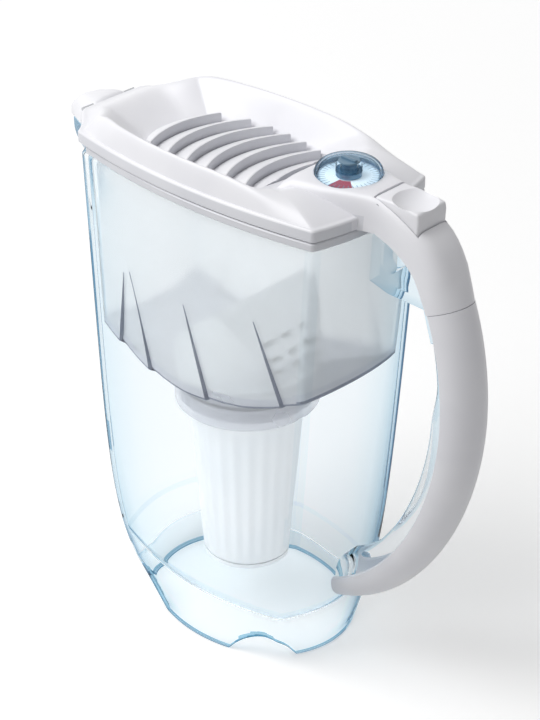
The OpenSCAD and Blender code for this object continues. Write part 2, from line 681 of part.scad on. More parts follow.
dish_r = 17;
dish_depth = 3;
module thumb_button() {
    at_axis() color("white") difference() {
        union() {
            side_extrude(button_w) translate([button_x, button_pin_z]) polygon([
                [button_front - button_x, bridge_z - 0.6 - button_pin_z],
                [button_rear - button_x, bridge_z - 1.4 - button_pin_z],
                [button_rear - button_x, tail_step_z - 2.2 - button_pin_z],
                [button_rear - button_x - 9, tail_step_z + 0.6 - button_pin_z],
                [1.6, -2.2], [-1.6, -2.2], [button_front - button_x, 0.2]]);
            box(button_x - 1.4, button_x + 1.4, rod_w - 0.6, push_z, button_pin_z);
            cross_pin(button_x, push_z, 2 * nose_r, rod_w - 0.6);
        }
        translate([button_x + button_l * 0.44, 0, bridge_z - 1 + dish_r - dish_depth])
            sphere(r = dish_r, $fn = 96);
        cross_pin(button_x, button_pin_z, button_pin_d + 2 * fit, handle_w);
    }
}

module button_pin() {
    at_axis() color("silver") cross_pin(button_x, button_pin_z, button_pin_d, handle_w - 2);
}

// ---- Spout cap ----
cap_y = ear_y - ear_w / 2 - gap;
cap_lap = 1;
function lip_x(v) = -rim_spout - (spout_reach - rim_spout) * v;
function lip_y(v) = corner_w * (1 - pow(v, 0.6));
cap_steps = [0.42, 0.55, 0.7, 0.82, 0.92];
module cap_plan(d) {
    side = concat([[-cap_seam - gap + d, cap_y - d], [cap_pin_x - ear_r, cap_y - d]],
        [for (v = cap_steps) [lip_x(v), min(cap_y, lip_y(v) + cap_lap) - d]],
        [[-spout_reach + d, 1.4 - d * 0.5]]);
    linear_extrude(rim_z * 2) polygon(concat(side,
        [for (k = [len(side) - 1:-1:0]) [side[k].x, -side[k].y]]));
}
module cap_side(d) {
    rim_at = rim_z - (rim_z - spout_tip_z) * (cap_seam - rim_spout) / (spout_reach - rim_spout);
    polygon([[cap_pin_x, lid_top - 0.2 - d], [-cap_seam - 14, lid_top - 4.6 - d],
        [-spout_reach, spout_tip_z + 4.4 - d], [-spout_reach, spout_tip_z + 0.7 - 3 * d],
        [cap_pin_x, rim_at + 1.2 - 3 * d]]);
}
module spout_cap() {
    at_axis() color("white") difference() {
        union() {
            intersection() {
                side_extrude(2 * rim_half_w) cap_side(0);
                cap_plan(0);
            }
            cross_pin(cap_pin_x, cap_pin_z, 2 * ear_r, 2 * cap_y);
        }
        difference() {
            intersection() {
                side_extrude(2 * rim_half_w) cap_side(lid_wall * 0.9);
                cap_plan(lid_wall * 0.8);
            }
            cross_pin(cap_pin_x, cap_pin_z, 2 * ear_r, 2 * cap_y);
        }
        cross_pin(cap_pin_x, cap_pin_z, cap_pin_d + 2 * fit, 2 * cap_y + 2);
    }
}

module spout_cap_pin() {
    at_axis() color("silver") cross_pin(cap_pin_x, cap_pin_z, cap_pin_d, 2 * ear_y + 1);
}

// ---- Counter dial ----
disc_t = 0.8;
dome_wall = 1.4;
// The dome bends at this share of its radius and of its height
dome_bend = 0.82;
bend_h = 0.72;
knob_flange_h = 2.4;
grip_h = 1.8;
dome_low = well_z + disc_t + gap;
dome_r = dial_d / 2;
module counter_dome() {
    at_axis() color([0.75, 0.88, 0.95, 0.5]) translate([dial_x, 0, 0]) difference() {
        rotate_extrude($fn = 96) polygon([[knob_d / 2 - 1, dome_low + knob_flange_h],
            [knob_d / 2 - 1, bridge_z + dome_h],
            [dome_r * 0.55, bridge_z + dome_h], [dome_r * dome_bend, bridge_z + dome_h * bend_h],
            [dome_r * 0.95, bridge_z + dome_h * 0.34], [dome_r, bridge_z], [dome_r, dome_low],
            [dome_r - dome_wall, dome_low], [dome_r - dome_wall, bridge_z - 0.4],
            [dome_r * (dome_bend - 0.04), bridge_z + dome_h * bend_h - dome_wall],
            [dome_r * 0.5, bridge_z + dome_h - dome_wall], [knob_d / 2 + 1, bridge_z + dome_h - dome_wall],
            [knob_d / 2 + 1, dome_low + knob_flange_h]]);
    }
}
module counter_knob() {
    at_axis() color([0.45, 0.6, 0.72]) translate([dial_x, 0, 0]) difference() {
        union() {
            translate([0, 0, dome_low])
                cylinder(h = bridge_z + dome_h - dome_low, d = knob_d - 2, $fn = 48);
            translate([0, 0, dome_low]) cylinder(h = knob_flange_h, d = knob_d + 1.6, $fn = 48);
            translate([0, 0, bridge_z + dome_h]) cylinder(h = 0.8, d = knob_d, $fn = 48);
            translate([-knob_d / 2 + 0.8, -1, bridge_z + dome_h]) cube([knob_d - 1.6, 2, grip_h]);
        }
        translate([0, 0, dome_low - 1]) cylinder(h = 6.5, d = axle_d + 2 * fit, $fn = 48);
    }
}
module counter_disc() {
    at_axis() color([0.66, 0.32, 0.37]) difference() {
        cylinder_at(dial_x, well_z, well_z + disc_t, well_r - gap - dome_wall);
        cylinder_at(dial_x, well_z - 1, well_z + 3, axle_d / 2);
    }
}
module counter_axle() {
    at_axis() color("silver") cylinder_at(dial_x, lid_low + 4.5, dome_low + 5, axle_d / 2);
}

// ---- Cartridge ----
neck_r = socket_r - gap;
neck_low_z = socket_low_z + 2;
neck_step = 2;
// The neck's wall is thicker than the body's, for the seal's groove
neck_wall = cart_wall + 1.4;
seat_z = socket_top_z + gap;
cart_flange_t = 3;
cart_top_z = seat_z + cart_flange_t;
body_floor_z = body_low_z + 2.4;
// Ring seal in a groove of the neck, pressed flat by the socket
seal_d = 2.4;
seal_squash = 0.35;
seal_in = socket_r - fit - seal_d + seal_squash;
seal_z = (neck_low_z + seat_z) / 2;
module at_cartridge() {
    at_axis() translate([-socket_off, 0, 0]) children();
}
module cartridge_body() {
    at_cartridge() color("white") difference() {
        rotate_extrude($fn = 96) polygon([[0, body_floor_z], [body_low_d / 2, body_floor_z],
            [body_top_d / 2, neck_low_z - neck_step], [neck_r, neck_low_z + neck_step / 2],
            [neck_r, seat_z], [flange_r, seat_z], [flange_r, cart_top_z], [0, cart_top_z]]);
        rotate_extrude($fn = 96) polygon([[0, body_low_z], [body_low_d / 2 - cart_wall, body_low_z],
            [body_top_d / 2 - cart_wall, neck_low_z - neck_step],
            [neck_r - neck_wall, neck_low_z + neck_step], [neck_r - neck_wall, cart_top_z + 1],
            [0, cart_top_z + 1]]);
        rotate_extrude($fn = 96) translate([seal_in, seal_z - seal_d / 2 - 0.2])
            square([seal_d, seal_d + 0.4]);
    }
}
module cartridge_flange_seal() {
    at_cartridge() color([0.3, 0.3, 0.32]) rotate_extrude($fn = 96) intersection() {
        translate([seal_in + seal_d / 2, seal_z]) circle(d = seal_d, $fn = 32);
        translate([seal_in, seal_z - seal_d]) square([seal_d - seal_squash, 2 * seal_d]);
    }
}
cap_edge = 3;
cap_round = 1.5;
ridge_x = socket_off + 4;
ridge_w = 5;
slot_w = 7;
slot_h = 3;
slot_pitch = 6.5;
slot_apart = 12;
// The cap in side view, moved in by d: a long slope up to the ridge and a steep slotted face
module cap_wedge(d) {
    polygon([[-flange_r + cap_edge + d, cart_top_z], [-flange_r + cap_edge + d, cart_top_z + 3 - d],
        [ridge_x + d * 0.6, cart_top_z + cap_rise - d],
        [ridge_x + ridge_w - d * 0.4, cart_top_z + cap_rise - d],
        [ridge_x + 16 - d, cart_top_z + cap_rise * 0.62 - d],
        [flange_r - cap_edge - d, cart_top_z + cap_rise * 0.3 - d],
        [flange_r - cap_edge - d, cart_top_z]]);
}
module cartridge_cap() {
    at_cartridge() color([0.86, 0.88, 0.9]) difference() {
        intersection() {
            side_extrude(2 * flange_r) cap_wedge(0);
            cylinder(h = rim_z, r = flange_r - cap_round, $fn = 96);
        }
        intersection() {
            translate([0, 0, -1]) side_extrude(2 * flange_r) cap_wedge(cart_wall);
            cylinder(h = rim_z, r = flange_r - cap_round - cart_wall, $fn = 96);
        }
        for (row = [0:2], col = [-1:1])
            let (z = cart_top_z + 2 * slot_h + row * slot_pitch)
                box(0, flange_r + 5, slot_w, z, z + slot_h, col * slot_apart);
    }
}
screen_t = 1.2;
outlet_t = 2.1;
outlet_plug = 2.8;
outlet_slot_in = 9;
outlet_slot_out = 18;
outlet_slot_w = 2.4;
media_low_z = body_low_z + outlet_plug + screen_t + 0.5;
media_top_z = seat_z - 2;
module cartridge_media() {
    at_cartridge() color([0.35, 0.33, 0.32]) rotate_extrude($fn = 64) polygon([
        [0, media_low_z], [body_low_d / 2 - cart_wall - gap, media_low_z],
        [body_top_d / 2 - cart_wall - gap, neck_low_z - neck_step],
        [neck_r - neck_wall - gap, neck_low_z + neck_step + 0.4],
        [neck_r - neck_wall - gap, media_top_z], [0, media_top_z]]);
}
module cartridge_top_screen() {
    at_cartridge() color([0.8, 0.82, 0.85])
        cylinder_at(0, media_top_z + gap, media_top_z + screen_t, neck_r - neck_wall - gap / 2);
}
module cartridge_bottom_screen() {
    at_cartridge() color([0.8, 0.82, 0.85])
        cylinder_at(0, media_low_z - gap - screen_t, media_low_z - gap, body_low_d / 2 - cart_wall - gap);
}
module cartridge_outlet() {
    at_cartridge() color("white") difference() {
        union() {
            cylinder_at(0, body_low_z, body_low_z + outlet_t, body_low_d / 2);
            cylinder_at(0, body_low_z, body_low_z + outlet_plug, body_low_d / 2 - cart_wall - gap);
        }
        for (a = [0:30:330])
            rotate([0, 0, a]) box(outlet_slot_in, outlet_slot_out, outlet_slot_w, body_low_z - 1,
                    body_low_z + outlet_plug + 1);
    }
}

jug();
handle_cover();
hopper();
lid_shell();
fill_flap();
flap_pin();
flap_spring();
push_rod();
thumb_button();
button_pin();
spout_cap();
spout_cap_pin();
counter_dome();
counter_knob();
counter_disc();
counter_axle();
cartridge_body();
cartridge_cap();
cartridge_flange_seal();
cartridge_media();
cartridge_top_screen();
cartridge_bottom_screen();
cartridge_outlet();
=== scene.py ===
"""Water filter pitcher with a louvred flip lid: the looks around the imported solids.

Every length is in millimetres about the jug's own upright axis, and to_scene turns it into
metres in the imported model's frame. The floor's glow, the lamp and the camera are in metres.
"""

import logging
import math
from dataclasses import dataclass, field
from enum import Enum
from typing import Iterable, Sequence

import bmesh
import bpy
import numpy as np
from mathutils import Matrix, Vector


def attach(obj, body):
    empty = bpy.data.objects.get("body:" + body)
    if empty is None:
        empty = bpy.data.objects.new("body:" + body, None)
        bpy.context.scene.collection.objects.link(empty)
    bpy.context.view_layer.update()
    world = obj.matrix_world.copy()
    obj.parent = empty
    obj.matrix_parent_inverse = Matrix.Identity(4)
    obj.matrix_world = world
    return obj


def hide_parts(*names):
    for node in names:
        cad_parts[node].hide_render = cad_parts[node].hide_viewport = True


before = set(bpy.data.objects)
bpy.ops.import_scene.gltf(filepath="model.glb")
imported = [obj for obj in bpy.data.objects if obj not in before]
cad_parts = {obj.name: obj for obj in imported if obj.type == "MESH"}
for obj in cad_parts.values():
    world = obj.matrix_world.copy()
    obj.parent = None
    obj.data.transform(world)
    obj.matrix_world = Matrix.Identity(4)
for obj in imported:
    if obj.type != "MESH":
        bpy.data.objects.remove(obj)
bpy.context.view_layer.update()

LOG = logging.getLogger("pitcher")
Array = np.ndarray
# One millimetre in metres.
MM = 0.001
# Where the jug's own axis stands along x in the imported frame, in millimetres.
AXIS_X = -6.5


# ---------------------------------------------------------------- numbers and meshes


def to_scene(points: Array) -> Array:
    """Turns millimetres about the jug's axis into metres in the model's frame.

    Args:
        points: array whose last axis is x, y, z in millimetres.

    Returns:
        The same points in metres, moved by the offset of the jug's axis.
    """
    return (points + np.array([AXIS_X, 0.0, 0.0])) * MM


def smooth(t: Array | float) -> Array:
    """Eases from 0 to 1: 3t^2 - 2t^3 on t held between 0 and 1."""
    u = np.clip(t, 0.0, 1.0)
    return u * u * (3.0 - 2.0 * u)


def circle(x: float, z: float, r: float) -> Array:
    """Outline of a circle in side view, as x and z of 32 points."""
    a = np.radians(np.linspace(0, 360, 32, endpoint=False))
    return np.column_stack([x + r * np.cos(a), z + r * np.sin(a)])


def grid_faces(rows: int, cols: int, close_rows: bool, close_cols: bool) -> Array:
    """Lists the quads of a grid of rows x cols points.

    Args:
        rows: number of rows of points.
        cols: number of points in a row.
        close_rows: whether the last row joins the first.
        close_cols: whether the last point of a row joins the first.

    Returns:
        An array of four point indices for each quad.
    """
    j = np.arange(rows if close_rows else rows - 1)
    i = np.arange(cols if close_cols else cols - 1)
    jj, ii = np.meshgrid(j, i, indexing="ij")
    nj, ni = (jj + 1) % rows, (ii + 1) % cols
    quads = np.stack([jj * cols + ii, jj * cols + ni, nj * cols + ni, nj * cols + ii], -1)
    return quads.reshape(-1, 4)


def build(name: str, points: Array, faces: Iterable, crease: float = 35.0) -> bpy.types.Object:
    """Makes an object from points and faces, with outward normals and smooth shading.

    Args:
        name: the piece's name.
        points: points in millimetres about the jug's axis, one per row.
        faces: point indices of each face.
        crease: angle in degrees above which an edge stays sharp.

    Returns:
        The object, linked to the scene.
    """
    mesh = bpy.data.meshes.new(name)
    mesh.from_pydata(to_scene(points.reshape(-1, 3)).tolist(), [], [list(f) for f in faces])
    work = bmesh.new()
    work.from_mesh(mesh)
    bmesh.ops.remove_doubles(work, verts=work.verts, dist=1e-6)
    bmesh.ops.recalc_face_normals(work, faces=work.faces)
    work.to_mesh(mesh)
    work.free()
    piece = bpy.data.objects.new(name, mesh)
    bpy.context.scene.collection.objects.link(piece)
    shade(piece, crease)
    return piece


def shade(piece: bpy.types.Object, crease: float) -> None:
    """Shades a piece smooth, and keeps its sharper edges.

    Args:
        piece: the piece.
        crease: angle in degrees above which an edge stays sharp.
    """
    work = bmesh.new()
    work.from_mesh(piece.data)
    limit = math.radians(crease)
    for face in work.faces:
        face.smooth = True
    for edge in work.edges:
        edge.smooth = len(edge.link_faces) == 2 and edge.calc_face_angle(0.0) < limit
    work.to_mesh(piece.data)
    work.free()


def face_data(piece: bpy.types.Object) -> tuple[Array, Array]:
    """Reads where the faces of a piece lie and which way they look.

    Args:
        piece: the piece.

    Returns:
        The middle of each face in millimetres about the jug's axis, and its normal.
    """
    count = len(piece.data.polygons)
    middle, normal = np.empty(count * 3, np.float32), np.empty(count * 3, np.float32)
    piece.data.polygons.foreach_get("center", middle)
    piece.data.polygons.foreach_get("normal", normal)
    return middle.reshape(-1, 3) / MM - np.array([AXIS_X, 0.0, 0.0]), normal.reshape(-1, 3)


def paint(piece: bpy.types.Object, slots: Array) -> None:
    """Sets the material slot of each face."""
    piece.data.polygons.foreach_set("material_index", slots.astype(np.int32))
    piece.data.update()


def lofted(name: str, rings: Array, loop: bool = False, crease: float = 35.0) -> bpy.types.Object:
    """Skins a stack of rings: closed at both ends by fans, or joined end to end as a loop.

    Args:
        name: the piece's name.
        rings: array of rings x points x 3.
        loop: whether the last ring joins the first, as in a picture frame.
        crease: angle in degrees above which an edge stays sharp.

    Returns:
        The object.
    """
    rows, cols = rings.shape[:2]
    faces = grid_faces(rows, cols, loop, True).tolist()
    points = rings.reshape(-1, 3)
    if not loop:
        ends = np.stack([rings[0].mean(0), rings[-1].mean(0)])
        points = np.concatenate([points, ends])
        i = np.arange(cols)
        first = np.stack([np.full(cols, rows * cols), (i + 1) % cols, i], -1)
        base = (rows - 1) * cols
        last = np.stack([np.full(cols, rows * cols + 1), base + i, base + (i + 1) % cols], -1)
        faces += first.tolist() + last.tolist()
    return build(name, points, faces, crease)


def channel(name: str, rings: Array, across: int, crease: float) -> bpy.types.Object:
    """Skins a thin-walled channel and closes its two ends.

    A ring runs over the outside from edge to edge and back along the inside. Where it has two
    points more than that, they are the lips between outside and inside.

    Args:
        name: the piece's name.
        rings: array of rings x points x 3.
        across: number of points over the outside.
        crease: angle in degrees above which an edge stays sharp.

    Returns:
        The object.
    """
    rows, points = rings.shape[:2]
    lips = points > 2 * across
    pair = 2 * across - 1 + int(lips)
    faces = grid_faces(rows, points, False, True).tolist()
    k = np.arange(across - 1)
    for base, turn in ((0, 1), ((rows - 1) * points, -1)):
        strip = np.stack([k, k + 1, pair - 1 - k, pair - k], -1) + base
        faces += strip[:, ::turn].tolist()
        if lips:
            tips = np.array([[across - 1, across, across + 1], [pair, pair + 1, 0]]) + base
            faces += tips[:, ::turn].tolist()
    return build(name, rings, faces, crease)


class Join(Enum):
    """What a boolean does with its second solid."""

    CUT = "DIFFERENCE"
    ADD = "UNION"
    KEEP = "INTERSECT"


def combine(piece: bpy.types.Object, others: Sequence[bpy.types.Object], how: Join,
            crease: float = 35.0) -> bpy.types.Object:
    """Adds, cuts or intersects solids, and deletes all but the first.

    Args:
        piece: the solid that stays, with the result as its mesh.
        others: the solids to join with it, or none to apply its own modifiers.
        how: what the others do to it.
        crease: angle in degrees above which an edge stays sharp.

    Returns:
        The piece.
    """
    for other in others:
        step = piece.modifiers.new(how.value, "BOOLEAN")
        step.operation = how.value
        step.solver = "EXACT"
        step.object = other
    bpy.context.view_layer.update()
    depsgraph = bpy.context.evaluated_depsgraph_get()
    mesh = bpy.data.meshes.new_from_object(piece.evaluated_get(depsgraph))
    piece.modifiers.clear()
    old = piece.data
    piece.data = mesh
    bpy.data.meshes.remove(old)
    mesh.name = piece.name
    for other in others:
        data = other.data
        bpy.data.objects.remove(other)
        bpy.data.meshes.remove(data)
    shade(piece, crease)
    return piece


def block(name: str, low: Sequence[float], high: Sequence[float]) -> bpy.types.Object:
    """Makes a plain box, for a boolean.

    Args:
        name: its name.
        low: its lowest corner.
        high: its highest corner.

    Returns:
        The object.
    """
    (x0, y0, z0), (x1, y1, z1) = low, high
    ring = np.array([[x0, y0], [x1, y0], [x1, y1], [x0, y1]], float)
    rings = np.stack([np.column_stack([ring, np.full(4, z)]) for z in (z0, z1)])
    return lofted(name, rings)


def lathe(name: str, profile: Sequence[Sequence[float]], centre: Sequence[float], turns: int = 128,
          crease: float = 35.0, flute: float = 0.0, flutes: int = 0) -> bpy.types.Object:
    """Turns a closed profile of (radius, height) about an upright axis.

    The radius at angle a is r + flute * cos(flutes * a).

    Args:
        name: the piece's name.
        profile: points of the closed outline, as radius and height.
        centre: x and y of the axis.
        turns: number of points round the axis.
        crease: angle in degrees above which an edge stays sharp.
        flute: depth of the flutes, where profile points carry a third value of 1.
        flutes: number of flutes round the axis.

    Returns:
        The object.
    """
    angle = np.linspace(0, 2 * np.pi, turns, endpoint=False)
    rows = np.array([list(p) + [0.0] * (3 - len(p)) for p in profile])
    radius = rows[:, :1] + rows[:, 2:3] * flute * np.cos(flutes * angle)[None, :]
    x = centre[0] + radius * np.cos(angle)
    y = centre[1] + radius * np.sin(angle)
    z = np.repeat(rows[:, 1:2], turns, axis=1)
    return lofted(name, np.stack([x, y, z], -1), loop=bool(rows[0, 0] > 1e-6), crease=crease)


def drum(name: str, r: float, low: float, high: float, x: float, turns: int = 128) -> bpy.types.Object:
    """An upright cylinder about an axis at x, for a boolean."""
    return lathe(name, [(0, low), (r, low), (r, high), (0, high)], (x, 0.0), turns)


# ---------------------------------------------------------------- finishes


def srgb(code: str) -> tuple[float, float, float, float]:
    """Turns an sRGB colour into a linear one.

    Args:
        code: the colour, such as "#E2E3E8".

    Returns:
        Linear red, green and blue, and an alpha of 1.
    """
    values = np.array([int(code[k:k + 2], 16) for k in (1, 3, 5)]) / 255.0
    linear = np.where(values <= 0.04045, values / 12.92, ((values + 0.055) / 1.055) ** 2.4)
    return (*[float(v) for v in linear], 1.0)


def add_node(tree: bpy.types.NodeTree, kind: str, settings: dict | None = None,
             values: dict | None = None, links: dict | None = None,
             stops: Sequence[tuple[float, str]] = ()) -> bpy.types.Node:
    """Adds a node with its settings, socket values and links.

    Args:
        tree: the node tree.
        kind: the node's type name without its "ShaderNode" prefix.
        settings: attributes of the node.
        values: socket values by name or index.
        links: sockets to link from, by this node's input name or index.
        stops: places and sRGB colours of a colour ramp.

    Returns:
        The node.
    """
    node = tree.nodes.new("ShaderNode" + kind)
    for key, value in (settings or {}).items():
        setattr(node, key, value)
    for key, value in (values or {}).items():
        node.inputs[key].default_value = value
    for key, socket in (links or {}).items():
        tree.links.new(socket, node.inputs[key])
    for k, (place, code) in enumerate(stops):
        marks = node.color_ramp.elements
        mark = marks[k] if k < len(marks) else marks.new(place)
        mark.position = place
        mark.color = srgb(code)
    return node


def start(name: str) -> tuple[bpy.types.Material, bpy.types.NodeTree, bpy.types.Node,
                              bpy.types.NodeSocket]:
    """Starts a node material.

    Args:
        name: the material's name.

    Returns:
        The material, its node tree, its shader and a socket with object coordinates.
    """
    made = bpy.data.materials.new(name)
    made.use_nodes = True
    tree = made.node_tree
    return made, tree, tree.nodes["Principled BSDF"], add_node(tree, "TexCoord").outputs["Object"]


@dataclass(frozen=True)
class Moulding:
    """An opaque moulded plastic: a base colour, a gloss, and the fine texture of its mould.

    The mould's spark texture is a grain of a few tenths of a millimetre: the eye reads it as
    satin. A slow drift of the gloss stands for flow in the mould.
    """

    name: str
    colour: str
    shade: str
    roughness: float = 0.34
    grain_mm: float = 0.5
    grain_depth_mm: float = 0.004
    flow_mm: float = 35.7
    gloss_drift: float = 0.05
    ior: float = 1.53

    def material(self) -> bpy.types.Material:
        """Builds the node material.

        Returns:
            The material.
        """
        made, tree, skin, place = start(self.name)
        slow = add_node(tree, "TexNoise", values={"Scale": 1000.0 / self.flow_mm, "Detail": 2.0},
                        links={"Vector": place})
        tint = add_node(tree, "ValToRGB", links={"Fac": slow.outputs["Fac"]},
                        stops=[(0.35, self.shade), (0.6, self.colour)])
        tree.links.new(tint.outputs["Color"], skin.inputs["Base Color"])
        gloss = add_node(tree, "MapRange", values={
            "From Min": 0.3, "From Max": 0.7, "To Min": self.roughness - self.gloss_drift,
            "To Max": self.roughness + self.gloss_drift}, links={"Value": slow.outputs["Fac"]})
        tree.links.new(gloss.outputs["Result"], skin.inputs["Roughness"])
        fine = add_node(tree, "TexNoise", values={"Scale": 1000.0 / self.grain_mm, "Detail": 1.0},
                        links={"Vector": place})
        bump = add_node(tree, "Bump", values={"Strength": 0.35, "Distance": self.grain_depth_mm * MM},
                        links={"Height": fine.outputs["Fac"]})
        tree.links.new(bump.outputs["Normal"], skin.inputs["Normal"])
        skin.inputs["IOR"].default_value = self.ior
        return made


@dataclass(frozen=True)
class ClearPlastic:
    """A clear moulded plastic such as SAN: smooth walls that darken to blue where seen edge on.

    SAN bends light with an index of 1.57. Between walls this thin even an index of 1.12 traps
    rays in the corners, which then turn black, so the index is only a little over 1, and the
    colour ramp on the angle of view stands for the blue that gathers along a wall seen edge on.
    """

    name: str
    stops: tuple[tuple[float, str], ...]
    roughness: float = 0.02
    ior: float = 1.06
    ripple_mm: float = 9.0
    ripple_depth_mm: float = 0.01

    def material(self) -> bpy.types.Material:
        """Builds the node material.

        Returns:
            The material.
        """
        made, tree, skin, place = start(self.name)
        facing = add_node(tree, "LayerWeight", values={"Blend": 0.5})
        tint = add_node(tree, "ValToRGB", links={"Fac": facing.outputs["Facing"]}, stops=self.stops)
        tree.links.new(tint.outputs["Color"], skin.inputs["Base Color"])
        slow = add_node(tree, "TexNoise", values={"Scale": 1000.0 / self.ripple_mm, "Detail": 1.0},
                        links={"Vector": place})
        bump = add_node(tree, "Bump", values={"Strength": 0.3, "Distance": self.ripple_depth_mm * MM},
                        links={"Height": slow.outputs["Fac"]})
        tree.links.new(bump.outputs["Normal"], skin.inputs["Normal"])
        skin.inputs["Transmission Weight"].default_value = 1.0
        skin.inputs["Roughness"].default_value = self.roughness
        skin.inputs["IOR"].default_value = self.ior
        return made


@dataclass(frozen=True)
class FrostedPlastic:
    """Natural polypropylene: light passes but shapes behind it blur.

    Only the first face that a ray meets holds light back. A face met from inside lets all of it
    through, so a wall counts once and not twice.
    """

    name: str
    colour: str
    transmission: float
    roughness: float
    cloud_mm: float = 22.2
    haze_drift: float = 0.04
    ior: float = 1.1

    def material(self) -> bpy.types.Material:
        """Builds the node material.

        Returns:
            The material.
        """
        made, tree, skin, place = start(self.name)
        cloud = add_node(tree, "TexNoise", values={"Scale": 1000.0 / self.cloud_mm, "Detail": 3.0},
                         links={"Vector": place})
        haze = add_node(tree, "MapRange", values={
            "From Min": 0.3, "From Max": 0.7, "To Min": self.roughness - self.haze_drift,
            "To Max": self.roughness + self.haze_drift}, links={"Value": cloud.outputs["Fac"]})
        tree.links.new(haze.outputs["Result"], skin.inputs["Roughness"])
        skin.inputs["Base Color"].default_value = srgb(self.colour)
        inside = add_node(tree, "NewGeometry").outputs["Backfacing"]
        passed = add_node(tree, "MapRange", values={"To Min": self.transmission, "To Max": 1.0},
                          links={"Value": inside})
        tree.links.new(passed.outputs["Result"], skin.inputs["Transmission Weight"])
        skin.inputs["IOR"].default_value = self.ior
        return made


@dataclass(frozen=True)
class DrawnSteel:
    """Drawn stainless wire: fine marks that break up the highlight."""

    name: str = "drawn stainless wire"
    colour: str = "#B9BBBE"
    roughness: float = 0.3
    gloss_drift: float = 0.1
    mark_mm: float = 0.3

    def material(self) -> bpy.types.Material:
        """Builds the node material.

        Returns:
            The material.
        """
        made, tree, skin, place = start(self.name)
        marks = add_node(tree, "TexNoise", values={"Scale": 1000.0 / self.mark_mm},
                         links={"Vector": place})
        gloss = add_node(tree, "MapRange", values={
            "To Min": self.roughness - self.gloss_drift, "To Max": self.roughness + self.gloss_drift},
            links={"Value": marks.outputs["Fac"]})
        tree.links.new(gloss.outputs["Result"], skin.inputs["Roughness"])
        skin.inputs["Base Color"].default_value = srgb(self.colour)
        skin.inputs["Metallic"].default_value = 1.0
        return made


# ---------------------------------------------------------------- the jug's plan


